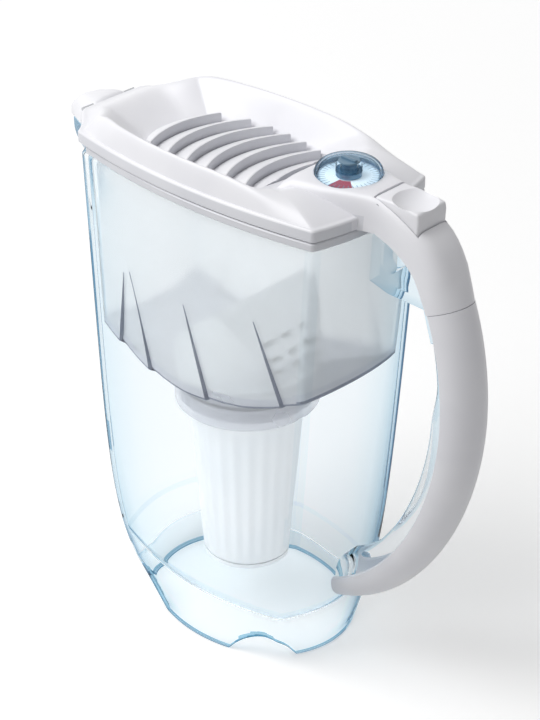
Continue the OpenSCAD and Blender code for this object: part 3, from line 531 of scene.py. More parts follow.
@dataclass(frozen=True)
class RimPlan:
    """The jug's plan: bowed sides and ends that meet in small corners.

    Lower down it blends to an ellipse. Rings run once round the plan, and every grid of the jug,
    hopper and lid uses the same ring.
    """

    rim_z: float = 245.0
    rim_end: float = 76.5
    rim_spout: float = 85.0
    rim_w: float = 45.2
    side_bow: float = 7.2
    end_bow: float = 5.0
    corner_r: float = 2.0
    foot_l: float = 57.5
    foot_w: float = 46.0
    foot_round: float = 0.9
    rim_round: float = 0.04
    end_grow: tuple[float, float] = (0.5, 60.0)
    spout_grow: tuple[float, float] = (0.78, 33.0)
    round_grow: tuple[float, float] = (0.68, 20.0)
    spout_reach: float = 128.0
    spout_back: float = 1.5
    spout_tip_z: float = 237.0
    spout_h: float = 60.0
    spout_power: float = 1.67
    lip_h: float = 5.0
    end_n: int = 24
    side_n: int = 72
    corner_n: int = 8

    @property
    def rim_l(self) -> float:
        """Half length of the rim."""
        return (self.rim_end + self.rim_spout) / 2

    def ring(self) -> Array:
        """Points of the rim about its own middle, anticlockwise from the handle's end.

        Ends and sides are parabolas. A corner is an arc between the slopes of its end and side,
        scaled to meet both.

        Returns:
            One x and y for each point.
        """
        corner_l, corner_w = self.rim_l - self.end_bow, self.rim_w - self.side_bow
        flat_l, flat_w = corner_l - self.corner_r, corner_w - self.corner_r
        end_a = math.atan(2 * self.end_bow / flat_w)
        side_a = math.pi / 2 - math.atan(2 * self.side_bow / flat_l)

        def end_run(s: int) -> Array:
            """The end on side s of the middle, as a parabola of the end's bow."""
            y = s * np.linspace(-flat_w, flat_w, self.end_n + 1)
            return np.column_stack([s * (corner_l + self.end_bow * (1 - (y / flat_w) ** 2)), y])

        def side_run(s: int) -> Array:
            """The long side on side s of the middle, as a parabola of the side's bow."""
            x = s * np.linspace(flat_l, -flat_l, self.side_n + 1)
            return np.column_stack([x, s * (corner_w + self.side_bow * (1 - (x / flat_l) ** 2))])

        def corner_run(sx: int, sy: int) -> Array:
            """The corner without its two end points.

            Args:
                sx: its side of the middle along x, 1 or -1.
                sy: its side of the middle along y, 1 or -1.

            Returns:
                The x and y of each point.
            """
            t = np.arange(1, self.corner_n) / self.corner_n
            a = end_a + (side_a - end_a) * (t if sx == sy else 1 - t)
            back = (math.cos(end_a) - np.cos(a)) / (math.cos(end_a) - math.cos(side_a))
            out = (np.sin(a) - math.sin(end_a)) / (math.sin(side_a) - math.sin(end_a))
            return np.column_stack([sx * (corner_l - self.corner_r * back),
                                    sy * (flat_w + self.corner_r * out)])

        return np.concatenate([end_run(1), corner_run(1, 1), side_run(1), corner_run(-1, 1),
                               end_run(-1), corner_run(-1, -1), side_run(-1), corner_run(1, -1)])

    def unit(self) -> Array:
        """The ring scaled to half lengths of 1."""
        return self.ring() / np.array([self.rim_l, self.rim_w])

    def turn(self) -> Array:
        """Angle of each ring point about the middle."""
        unit = self.unit()
        return np.arctan2(unit[:, 1], unit[:, 0])

    def run_out(self) -> Array:
        """How far a point runs out towards the spout's tip: 0 at the corner, 1 in the middle."""
        share = np.maximum(0.0, 1 - np.abs(self.ring()[:, 1]) / (self.rim_w - self.side_bow))
        return np.where(self.unit()[:, 0] < 0, share ** self.spout_power, 0.0)

    def plan(self, end: Array, spout: Array, width: Array, round_share: Array) -> tuple[Array, Array]:
        """Stretches the ring between a rounded box and an ellipse.

        Args:
            end: half length towards the handle.
            spout: half length towards the spout.
            width: half width.
            round_share: share of the ellipse, the rest being the rim's own outline.

        Returns:
            The x and the y of each point.
        """
        unit, turn = self.unit(), self.turn()
        x = (end - spout) / 2 + (end + spout) / 2 * (
            (1 - round_share) * unit[:, 0] + round_share * np.cos(turn))
        y = width * ((1 - round_share) * unit[:, 1] + round_share * np.sin(turn))
        return x, y

    def ease(self, z: Array, share: float, reach: float) -> Array:
        """Growth from foot to rim: share * (1 - e^(-z / reach)) + (1 - share) * z / rim height."""
        return share * (1 - np.exp(-z / reach)) + (1 - share) * z / self.rim_z

    def end_l(self, z: Array) -> Array:
        """Half length towards the handle at a height."""
        return self.foot_l + (self.rim_end - self.foot_l) * self.ease(z, *self.end_grow)

    def spout_l(self, z: Array) -> Array:
        """Half length towards the spout at a height."""
        return self.foot_l + (self.rim_spout - self.foot_l) * self.ease(z, *self.spout_grow)

    def half_w(self, z: Array) -> Array:
        """Half width at a height."""
        return self.foot_w + (self.rim_w - self.foot_w) * z / self.rim_z

    def roundness(self, z: Array) -> Array:
        """Share of the ellipse in the plan at a height."""
        return self.foot_round + (self.rim_round - self.foot_round) * self.ease(z, *self.round_grow)

    def wall(self, z: Array | float, inset: float) -> Array:
        """One ring of the jug's wall, run out to the spout and with its rim dipped there.

        Args:
            z: height, one value or one for each ring point.
            inset: distance in from the outer surface.

        Returns:
            Ring points.
        """
        z = np.broadcast_to(np.asarray(z, float), (len(self.ring()),))
        x, y = self.plan(self.end_l(z) - inset, self.spout_l(z) - inset, self.half_w(z) - inset,
                         self.roundness(z))
        v = self.run_out()
        reach = self.spout_reach - self.spout_back - self.rim_spout - inset / 2
        base = self.rim_z - self.spout_h
        rise = smooth((z - base) / (self.spout_h - self.lip_h))
        dip = (self.rim_z - self.spout_tip_z) * v * smooth((z - base) / self.spout_h)
        return np.column_stack([x - reach * v * rise, y, z - dip])


PLAN = RimPlan()


@dataclass
class JugBody:
    """The clear jug: wall with spout, raised floor and notched foot, all one thickness.

    The foot's edge rises in four arched notches. The levels are first height, last height and
    number of rings. The skirt's parts run from its edge (0) to the floor's underside (1).
    """

    plan: RimPlan = PLAN
    wall: float = 2.6
    floor_z: float = 21.0
    fillet: float = 12.0
    under_fillet: float = 8.4
    arc_n: int = 9
    floor_insets: tuple[float, ...] = (32.0, 22.0, 16.0)
    under_insets: tuple[float, ...] = (14.0, 20.0, 32.0)
    low_level: float = 24.0
    side_levels: tuple[float, float, int] = (30.0, 180.0, 26)
    spout_levels: tuple[float, float, int] = (185.0, 243.0, 38)
    skirt_out: tuple[float, ...] = (1.0, 0.8, 0.6, 0.4, 0.25, 0.12, 0.04)
    skirt_in: tuple[float, ...] = (0.04, 0.2, 0.35)
    skirt_bend: float = 0.4
    edge_round: float = 0.4
    notch_h: float = 15.0
    notch_at: float = 48.0
    notch_span: float = 19.0
    notch_power: float = 1.6
    edge_band: float = 1.3
    edge_reach: float = 1.2
    rail_off: float = 0.6
    rail_half_w: float = 8.0
    floor_top: float = 36.0
    floor_slope: float = 0.2
    corner_reach: float = 4.2
    corner_from: float = 80.0
    core_levels: tuple[float, float, int] = (5.0, 245.0, 40)

    def notch(self) -> Array:
        """Height of the foot's edge: h * (1 - |angle from a notch / span|^power), or 0.

        Returns:
            One height for each point round the foot.
        """
        turn = np.degrees(np.abs(self.plan.turn()))
        fold = np.where(turn > 90, 180 - turn, turn)
        arch = 1 - np.abs((fold - self.notch_at) / self.notch_span) ** self.notch_power
        return self.notch_h * np.maximum(0.0, arch)

    def foot(self, part: float, inset: float) -> Array:
        """A ring of the skirt, from the foot's edge (0) to the floor's underside (1)."""
        return self.plan.wall(self.notch() * (1 - part) + (self.floor_z - self.wall) * part, inset)

    def rings(self) -> Array:
        """All rings from the middle of the floor, up the inside, over the rim, down and under.

        Returns:
            Points as (ring, point, xyz).
        """
        plan, wall, r, half = self.plan, self.wall, self.fillet, self.wall / 2
        quarter = np.radians(np.linspace(0, 90, self.arc_n))
        heights = np.concatenate([np.linspace(*self.side_levels), np.linspace(*self.spout_levels)])
        inside = [plan.wall(self.floor_z, wall + d) for d in self.floor_insets]
        inside += [plan.wall(self.floor_z + r * (1 - math.cos(a)), wall + r * (1 - math.sin(a)))
                   for a in quarter]
        inside += [plan.wall(z, wall) for z in heights]
        rim = [plan.wall(plan.rim_z - half + half * math.sin(a), half + half * math.cos(a))
               for a in 2 * quarter]
        outside = [plan.wall(z, 0.0) for z in heights[::-1]] + [plan.wall(self.low_level, 0.0)]
        skirt = [self.foot(part, 0.0) for part in self.skirt_out]
        skirt += [self.foot(0.0, self.edge_round), self.foot(0.0, wall - self.edge_round)]
        skirt += [self.foot(part, wall) for part in self.skirt_in]
        skirt += [self.foot(self.skirt_bend + (1 - self.skirt_bend) * math.sin(a),
                            wall + self.under_fillet * (1 - math.cos(a))) for a in quarter]
        under = [plan.wall(self.floor_z - wall, wall + d) for d in self.under_insets]
        return np.stack(inside + rim + outside + skirt + under)

    def build(self) -> bpy.types.Object:
        """Skins the rings as one closed solid."""
        return lofted("jug_body", self.rings(), crease=50.0)

    def tint(self, piece: bpy.types.Object, edge: bpy.types.Material, rail: bpy.types.Material,
             floor: bpy.types.Material, corner: bpy.types.Material) -> None:
        """Gives the foot's edge, the handle's rail, the floor and the corners tints of their own.

        Args:
            piece: the jug's piece.
            edge: material of faces within a small height of the foot's edge.
            rail: material of faces outside the wall at the handle's end.
            floor: material of the floor and its fillets.
            corner: material of the wall's upright corners.
        """
        for material in (edge, rail, floor, corner):
            piece.data.materials.append(material)
        plan, (middle, normal) = self.plan, face_data(piece)
        x, y, z = middle.T
        order = np.argsort(plan.turn())
        foot_z = np.interp(np.arctan2(y / plan.foot_w, x / plan.foot_l), plan.turn()[order],
                           self.notch()[order]) + self.edge_band
        at_rail = (x > plan.end_l(z) + self.rail_off) & (np.abs(y) < self.rail_half_w)
        at_edge = (z < foot_z) & (np.abs(x) < self.edge_reach * plan.foot_l)
        at_floor = (np.abs(normal[:, 2]) > self.floor_slope) & (z > foot_z) & (z < self.floor_top)
        paint(piece, np.select([at_rail, at_edge, at_floor, self.corner(middle)], [2, 1, 3, 4], 0))

    def corner(self, middle: Array) -> Array:
        """Whether points lie within a short reach of the wall's upright corners.

        The corner of the plan is blended to the ellipse by the share of roundness at its height,
        as every point of the wall is.

        Args:
            middle: points, one per row.

        Returns:
            True or False for each point.
        """
        plan, (x, y, z) = self.plan, middle.T
        at = np.array([plan.rim_l - plan.end_bow, plan.rim_w - plan.side_bow])
        at /= (plan.rim_l, plan.rim_w)
        turn, k = math.atan2(at[1], at[0]), plan.roundness(z)
        end, spout, width = plan.end_l(z), plan.spout_l(z), plan.half_w(z)
        u = np.abs(x - (end - spout) / 2)
        u -= (end + spout) / 2 * ((1 - k) * at[0] + k * math.cos(turn))
        v = np.abs(y) - width * ((1 - k) * at[1] + k * math.sin(turn))
        return (np.hypot(u, v) < self.corner_reach) & (z > self.corner_from)

    def core(self, inset: float, low: float = -5.0, high: float = 250.0) -> bpy.types.Object:
        """A filled solid of the jug's shape, used as a cutter.

        Args:
            inset: distance in from the outer surface, or out from it where negative.
            low: height of its lower end.
            high: height of its upper end.

        Returns:
            The object.
        """
        heights = np.concatenate([[0.0], np.linspace(*self.core_levels)])
        rings = [self.plan.wall(z, inset) for z in heights]
        first, last = rings[0].copy(), rings[-1].copy()
        first[:, 2], last[:, 2] = low, high
        return lofted("cutter", np.stack([first] + rings + [last]))


@dataclass(frozen=True)
class HandlePath:
    """The back of the handle in side view: an upper and a lower quarter of superellipses."""

    mid_x: float = 44.0
    mid_z: float = 166.0
    reach: float = 96.35
    up: float = 127.0
    down: float = 135.0
    up_n: float = 2.0
    down_n: float = 1.9

    def back(self, t: Array) -> Array:
        """Points of the back: x = mid + reach * cos(t)^(2/n), z = mid + rise * sin(t)^(2/n).

        Args:
            t: angles in degrees: 0 at the furthest point, positive towards the top.

        Returns:
            The x and z of each point.
        """
        t = np.radians(np.asarray(t, float))
        n = np.where(t >= 0, self.up_n, self.down_n)
        rise = np.where(t >= 0, self.up, -self.down)
        c, s = np.maximum(np.cos(t), 0.0), np.abs(np.sin(t))
        return np.stack([self.mid_x + self.reach * c ** (2 / n), self.mid_z + rise * s ** (2 / n)], -1)

    def inward(self, t: Array, depth: Array) -> Array:
        """Points of the back moved square to it towards the jug.

        Args:
            t: angles in degrees.
            depth: how far each point moves.

        Returns:
            The x and z of each point.
        """
        t = np.asarray(t, float)
        step = self.back(t + 0.5) - self.back(t - 0.5)
        step = step / np.linalg.norm(step, axis=-1, keepdims=True)
        normal = np.stack([-step[..., 1], step[..., 0]], -1)
        return self.back(t) + normal * np.asarray(depth, float)[..., None]

    def angle(self, z: float) -> float:
        """Angle at which the back reaches a height above its furthest point."""
        return math.degrees(math.asin(((z - self.mid_z) / self.up) ** (self.up_n / 2)))

    def sweep(self, t: Array, depth: Array, side: Array) -> Array:
        """Rings of a section swept along the back.

        Args:
            t: angles, one for each ring.
            depth: depth in from the back, rings x section points.
            side: y of the section points, rings x section points.

        Returns:
            Array of rings x section points x 3.
        """
        flat = self.inward(np.repeat(t[:, None], depth.shape[1], 1), depth)
        return np.stack([flat[..., 0], side, flat[..., 1]], -1)


PATH = HandlePath()


def prism(name: str, outline: Array, y0: float, y1: float, bevel: float = 0.0) -> bpy.types.Object:
    """Extrudes a side-view outline in y.

    Args:
        name: the piece's name.
        outline: x and z of each corner.
        y0: where it starts.
        y1: where it ends.
        bevel: width of the rounding of its edges, or 0 for sharp edges.

    Returns:
        The object.
    """
    n = len(outline)
    near = np.column_stack([outline[:, 0], np.full(n, y0), outline[:, 1]])
    far = np.column_stack([outline[:, 0], np.full(n, y1), outline[:, 1]])
    i = np.arange(n)
    sides = np.stack([i, (i + 1) % n, n + (i + 1) % n, n + i], -1).tolist()
    piece = build(name, np.concatenate([near, far]), sides + [i.tolist(), (n + i[::-1]).tolist()])
    return rounded(piece, bevel) if bevel else piece


def rounded(piece: bpy.types.Object, width: float, steps: int = 3, angle: float = 32.0,
            crease: float = 35.0) -> bpy.types.Object:
    """Rounds the sharper edges of a piece for good.

    Args:
        piece: the piece.
        width: width of the rounding in millimetres.
        steps: number of faces across it.
        angle: angle in degrees above which an edge is rounded.
        crease: angle in degrees above which an edge stays sharp afterwards.

    Returns:
        The piece.
    """
    edge = piece.modifiers.new("edge", "BEVEL")
    edge.width = width * MM
    edge.segments = steps
    edge.limit_method = "ANGLE"
    edge.angle_limit = math.radians(angle)
    return combine(piece, [], Join.ADD, crease)


@dataclass
class HandleRail:
    """The clear rail in front of the handle's cover, and the web that joins it to the jug's rim.

    Depths are measured in from the handle's back, and angles run along its path.
    """

    path: HandlePath = PATH
    plan: RimPlan = PLAN
    seam_z: float = 226.0
    seam_gap: float = 0.3
    front: float = 24.0
    behind: float = 2.7
    low_t: float = -80.0
    top_back: float = 9.0
    upper_w: float = 4.0
    lower_w: float = 9.2
    widen_t: tuple[float, float] = (8.0, 10.0)
    section_power: float = 0.45
    web_w: float = 4.0
    web_low_z: float = 220.0
    web_top_z: float = 243.0
    web_sink: float = 1.3
    web_bevel: float = 0.6
    window_out: float = 10.0
    window_z: float = 232.0
    window_r: float = 4.5
    web_back: float = 10.3
    web_back_t: tuple[float, ...] = (12.0, 8.0, 4.0, 0.0)
    web_tail_x: float = 95.0
    web_step: tuple[float, float] = (10.0, 24.0)
    web_front: tuple[float, float] = (86.0, 217.0)

    def rail(self) -> bpy.types.Object:
        """Sweeps a rounded box along the handle, wider in the lower half.

        The section is half depth * cos(a)^power by half width * sin(a)^power, with their signs.

        Returns:
            The object.
        """
        top = self.path.angle(self.seam_z - self.seam_gap)
        t = np.linspace(self.low_t, top - self.top_back, 80)
        a = np.radians(np.linspace(0, 360, 24, endpoint=False))
        half_d = (self.front - self.behind) / 2
        across = np.sign(np.cos(a)) * np.abs(np.cos(a)) ** self.section_power
        along = np.sign(np.sin(a)) * np.abs(np.sin(a)) ** self.section_power
        depth = self.behind + half_d + half_d * across
        grow = smooth((self.widen_t[0] - t) / self.widen_t[1])
        width = self.upper_w + (self.lower_w - self.upper_w) * grow
        rings = self.path.sweep(t, np.repeat(depth[None, :], len(t), 0), width[:, None] * along)
        return lofted("rail", rings, crease=50)

    def web(self) -> bpy.types.Object:
        """Extrudes the flat web under the lid's tail, with a round notch that is open above.

        Returns:
            The web.
        """
        top = self.path.angle(self.seam_z)
        cover = self.path.angle(self.seam_z - self.seam_gap)
        foot_x, head_x, rim_x = (float(self.plan.end_l(np.array(z)))
                                 for z in (self.web_low_z, self.web_top_z, self.plan.rim_z))
        x, z, r = rim_x + self.window_out, self.window_z, self.window_r
        arc = np.radians(np.linspace(-180, 0, 17))
        notch = np.column_stack([x + r * np.cos(arc), z + r * np.sin(arc)])
        back = self.path.inward(top + np.array(self.web_back_t), np.full(4, self.web_back))
        near, far = self.web_step
        lower = self.path.inward(cover - self.top_back * np.array([0, 1, 1, 0]),
                                 np.array([near, near, far, far]))
        outline = np.concatenate([[[foot_x - self.web_sink, self.web_low_z]],
                                  [[head_x - self.web_sink, self.web_top_z]],
                                  [[x - r, self.web_top_z]], notch, [[x + r, self.web_top_z]],
                                  [[self.web_tail_x, self.web_top_z]], back, lower,
                                  [self.web_front]])
        return prism("web", outline, -self.web_w, self.web_w, self.web_bevel)

    def build(self, jug: JugBody) -> bpy.types.Object:
        """Joins rail and web, and trims both to the middle of the jug's wall."""
        piece = combine(self.rail(), [self.web()], Join.ADD)
        return combine(piece, [jug.core(jug.wall / 2)], Join.CUT)


@dataclass
class HandleCover:
    """The white cover: a half-elliptic channel round the back of the rail."""

    path: HandlePath = PATH
    width: float = 25.0
    depth: float = 15.0
    wall: float = 2.4
    lip: float = 0.7
    seam_z: float = 226.0
    seam_gap: float = 0.3
    stand_off: float = 1.0
    low_t: float = -80.0
    across: int = 33

    def build(self, jug: JugBody) -> bpy.types.Object:
        """Sweeps the channel and cuts it clear of the jug's wall.

        Outside and inside are half ellipses: depth * (1 - cos(a)) by half width * sin(a).

        Args:
            jug: the jug, whose wall it keeps clear of.

        Returns:
            The object.
        """
        t = np.linspace(self.low_t, self.path.angle(self.seam_z - self.seam_gap), 96)
        a = np.radians(np.linspace(-90, 90, self.across))
        half, deep = self.width / 2, self.depth - self.lip
        outer = np.stack([deep * (1 - np.cos(a)), half * np.sin(a)], -1)
        inner = np.stack([self.wall + (deep - self.wall) * (1 - np.cos(a)),
                          (half - self.wall) * np.sin(a)], -1)
        lip = np.array([[self.depth, half - self.wall / 2]])
        section = np.concatenate([outer, lip, inner[::-1], lip * np.array([1, -1])])
        depth, side = (np.repeat(section[None, :, k], len(t), 0) for k in (0, 1))
        piece = channel("handle_cover_shell", self.path.sweep(t, depth, side), self.across, 40.0)
        return combine(piece, [jug.core(-self.stand_off, high=jug.plan.rim_z)], Join.CUT, 40.0)


# ---------------------------------------------------------------- hopper


@dataclass
class Hopper:
    """The translucent tank that hangs in the rim, with a bowed, pleated lower edge and a socket.

    A pleat is a crease from an upper x and z to a lower x and z. The columns are the grid's
    columns that follow the creases.
    """

    plan: RimPlan = PLAN
    wall: float = 2.0
    inset: float = 3.8
    pour_gap: float = 9.0
    gap_w: float = 30.0
    low_z: float = 142.0
    low_x: float = -14.0
    lift: float = 22.0
    low_chamfer: float = 0.8
    flange_z: float = 249.3
    flange_out: float = 1.0
    flange_round: float = 0.6
    flange_gap: float = 0.3
    seat_r: float = 38.2
    socket_x: float = -4.5
    socket_r: float = 34.0
    socket_wall: float = 2.3
    socket_low_z: float = 124.0
    socket_top_z: float = 144.0
    socket_chamfer: float = 0.4
    neck_z: float = 142.0
    floor_share: float = 0.6
    low_strip: float = 4.6
    low_line: float = 0.7
    pleats: tuple[tuple[float, float, float, float], ...] = (
        (-50.7, 191.0, -56.1, 156.0), (-47.3, 196.0, -33.7, 146.0), (-7.3, 192.5, 6.5, 145.6),
        (35.1, 200.0, 50.4, 157.6))
    columns: tuple[int, ...] = (9, 20, 40, 61)
    pleat_depth: float = 2.2
    pleat_run: float = 26.0
    pleat_power: float = 0.8
    pleat_side: tuple[float, float] = (20.0, 10.0)
    step_w: float = 0.5
    step_side: float = 25.0

    def point(self, z: Array, inset: Array) -> Array:
        """Ring points of the tank's wall, drawn back in the middle of the spout's end.

        Args:
            z: height of each point.
            inset: distance in from the jug's outer surface.

        Returns:
            Ring points.
        """
        plan = self.plan
        x, y = plan.plan(plan.end_l(z) - inset, plan.spout_l(z) - inset, plan.half_w(z) - inset,
                         plan.roundness(z))
        middle = np.where(plan.unit()[:, 0] < 0, np.maximum(0.0, 1 - (y / self.gap_w) ** 2), 0.0)
        return np.column_stack([x + self.pour_gap * smooth(middle), y, np.broadcast_to(z, x.shape)])

    def low(self, x: Array) -> Array:
        """Height of the lower edge along the tank."""
        return self.low_z + self.lift * ((x - self.low_x) / self.plan.rim_l) ** 2

    def past(self, x: Array, z: Array) -> Array:
        """Tells how far points lie past each crease.

        Args:
            x: place of each point along the wall.
            z: height of each point.

        Returns:
            For each crease the distance past it along the wall, and the fade: 1 at its lower end
            and 0 at its upper end.
        """
        return np.stack([np.stack([x - (x1 + (x0 - x1) * np.minimum((z - z1) / (z0 - z1), 1.0)),
                                   np.clip((z0 - z) / (z0 - z1), 0.0, 1.0)])
                         for x0, z0, x1, z1 in self.pleats])

    def slide(self, ring: Array) -> Array:
        """Moves the points of both long sides along the wall so that a column follows each crease.

        Args:
            ring: ring points.

        Returns:
            The ring with the same shape: for each crease one column lies on it and the next lies
            a step's width past it, and the columns between are spread evenly.
        """
        plan, out = self.plan, ring.copy()
        first = plan.end_n + plan.corner_n
        far = np.arange(first, first + plan.side_n + 1)
        j = np.arange(plan.side_n + 1)
        for run in (far[::-1], far + len(ring) // 2):
            side = ring[run]
            knots, places = [0.0], [0.0]
            for column, gap in zip(self.columns, self.past(side[:, 0], side[:, 2])[:, 0]):
                knots += [column, column + 1]
                places += [float(np.interp(0.0, gap, j)), float(np.interp(self.step_w, gap, j))]
            at = np.interp(j, knots + [plan.side_n], places + [plan.side_n])
            out[run] = np.stack([np.interp(at, j, side[:, k]) for k in range(3)], -1)
        return out

    def fold(self, ring: Array) -> Array:
        """Sinks the pleats into a ring: deepest just past each crease, fading towards the top.

        Past a crease the inset is depth * fade^power * (1 - distance / run).

        Args:
            ring: ring points.

        Returns:
            The ring with its pleats.
        """
        past = self.past(ring[:, 0], ring[:, 2])
        saw = np.where(past[:, 0] > 0.05, np.clip(1 - past[:, 0] / self.pleat_run, 0.0, 1.0), 0.0)
        inset = self.pleat_depth * np.max(saw * past[:, 1] ** self.pleat_power, axis=0)
        start_y, ease_y = self.pleat_side
        side = smooth((np.abs(ring[:, 1]) - start_y) / ease_y) * np.sign(ring[:, 1])
        return np.column_stack([ring[:, 0], ring[:, 1] - side * inset, ring[:, 2]])

    def level(self, t: float, inset: float, rise: float = 0.0) -> Array:
        """A ring of the tank's wall.

        Args:
            t: share of the way from the lower edge to the rim.
            inset: distance in from the jug's outer surface.
            rise: how far the lower edge is raised.

        Returns:
            Ring points.
        """
        x = self.point(np.full(len(self.plan.ring()), self.low_z), inset)[:, 0]
        z = (self.low(x) + rise) * (1 - t) + (self.plan.rim_z - 1) * t
        return self.fold(self.slide(self.point(z, inset)))

    def tint(self, piece: bpy.types.Object, low: bpy.types.Material, fold: bpy.types.Material,
             flange: bpy.types.Material) -> None:
        """Gives the lower edge its own material, and paints shade in the folds' steps and on the flange.

        Args:
            piece: the hopper's piece.
            low: material of the strip above the lower edge.
            fold: material of the edge line, and painted shade of the pleats' steps.
            flange: material of the band on the rim, partly painted shade.
        """
        for kind in (low, fold, flange):
            piece.data.materials.append(kind)
        x, y, z = face_data(piece)[0].T
        outer = np.hypot(x - self.socket_x, y) > self.seat_r
        above = z - self.low(x)
        past = self.past(x, z)
        # Painted shade: a thin grey line on each pleat's step; the same grey also runs along the lower
        # edge.
        step = np.any((np.abs(past[:, 0] / self.step_w - 0.5) < 0.45) & (past[:, 1] > 0.05), axis=0)
        line = outer & ((above < self.low_line) | (step & (np.abs(y) > self.step_side)))
        # Painted shade, in part: the flange band on the rim gets the greyer, shaded material.
        at_flange, at_socket = z > self.plan.rim_z + 0.2, z < self.neck_z - 0.5
        paint(piece, np.select([at_flange, at_socket, line, outer & (above < self.low_strip)],
                               [3, 1, 2, 1], 0))

    def flange(self, z: float, inset: float) -> Array:
        """A ring of the flange on the rim.

        Args:
            z: height of the ring.
            inset: how far it lies inside the flange's outer edge.

        Returns:
            The ring as (point, xyz).
        """
        plan = self.plan
        x, y = plan.plan(plan.rim_end - inset, plan.rim_spout - plan.end_bow - inset,
                         plan.rim_w - inset, plan.rim_round)
        return self.slide(np.column_stack([x, y, np.full(len(x), z)]))

    def socket_ring(self, z: float, r: float) -> Array:
        """A ring round the socket.

        Args:
            z: height of the ring.
            r: its radius.

        Returns:
            The ring as (point, xyz).
        """
        turn = self.plan.turn()
        x, y = self.socket_x + r * np.cos(turn), r * np.sin(turn)
        return np.column_stack([x, y, np.full(len(turn), z)])

    def build(self) -> bpy.types.Object:
        """Skins the tank with its flange, floor and socket as one closed loop of rings.

        Returns:
            The tank.
        """
        inner, out, turn = self.inset + self.wall, self.flange_out, self.flange_round
        low, top = self.plan.rim_z + self.flange_gap, self.flange_z
        shares = np.linspace(0, 1, 40) ** 1.3
        rings = [self.level(t, inner, self.wall) for t in shares]
        rings += [self.flange(z, inset) for z, inset in (
            (top - turn, inner), (top, inner - turn), (top, turn - out), (top - turn, -out),
            (low + turn, -out), (low, turn - out), (low, self.inset))]
        rings += [self.level(t, self.inset) for t in shares[::-1]]
        edge = self.level(0.0, self.inset + 1.0, -self.low_chamfer)
        r, wide, cut = self.socket_r, self.socket_r + self.socket_wall, self.socket_chamfer
        neck = self.socket_ring(self.neck_z, wide)
        rings += [edge, edge * self.floor_share + neck * (1 - self.floor_share), neck]
        rings += [self.socket_ring(z, at) for z, at in (
            (self.socket_low_z + cut, wide), (self.socket_low_z, wide - cut),
            (self.socket_low_z, r), (self.socket_top_z, r))]
        return lofted("hopper_tank", np.stack(rings), loop=True, crease=28.0)


# ---------------------------------------------------------------- lid


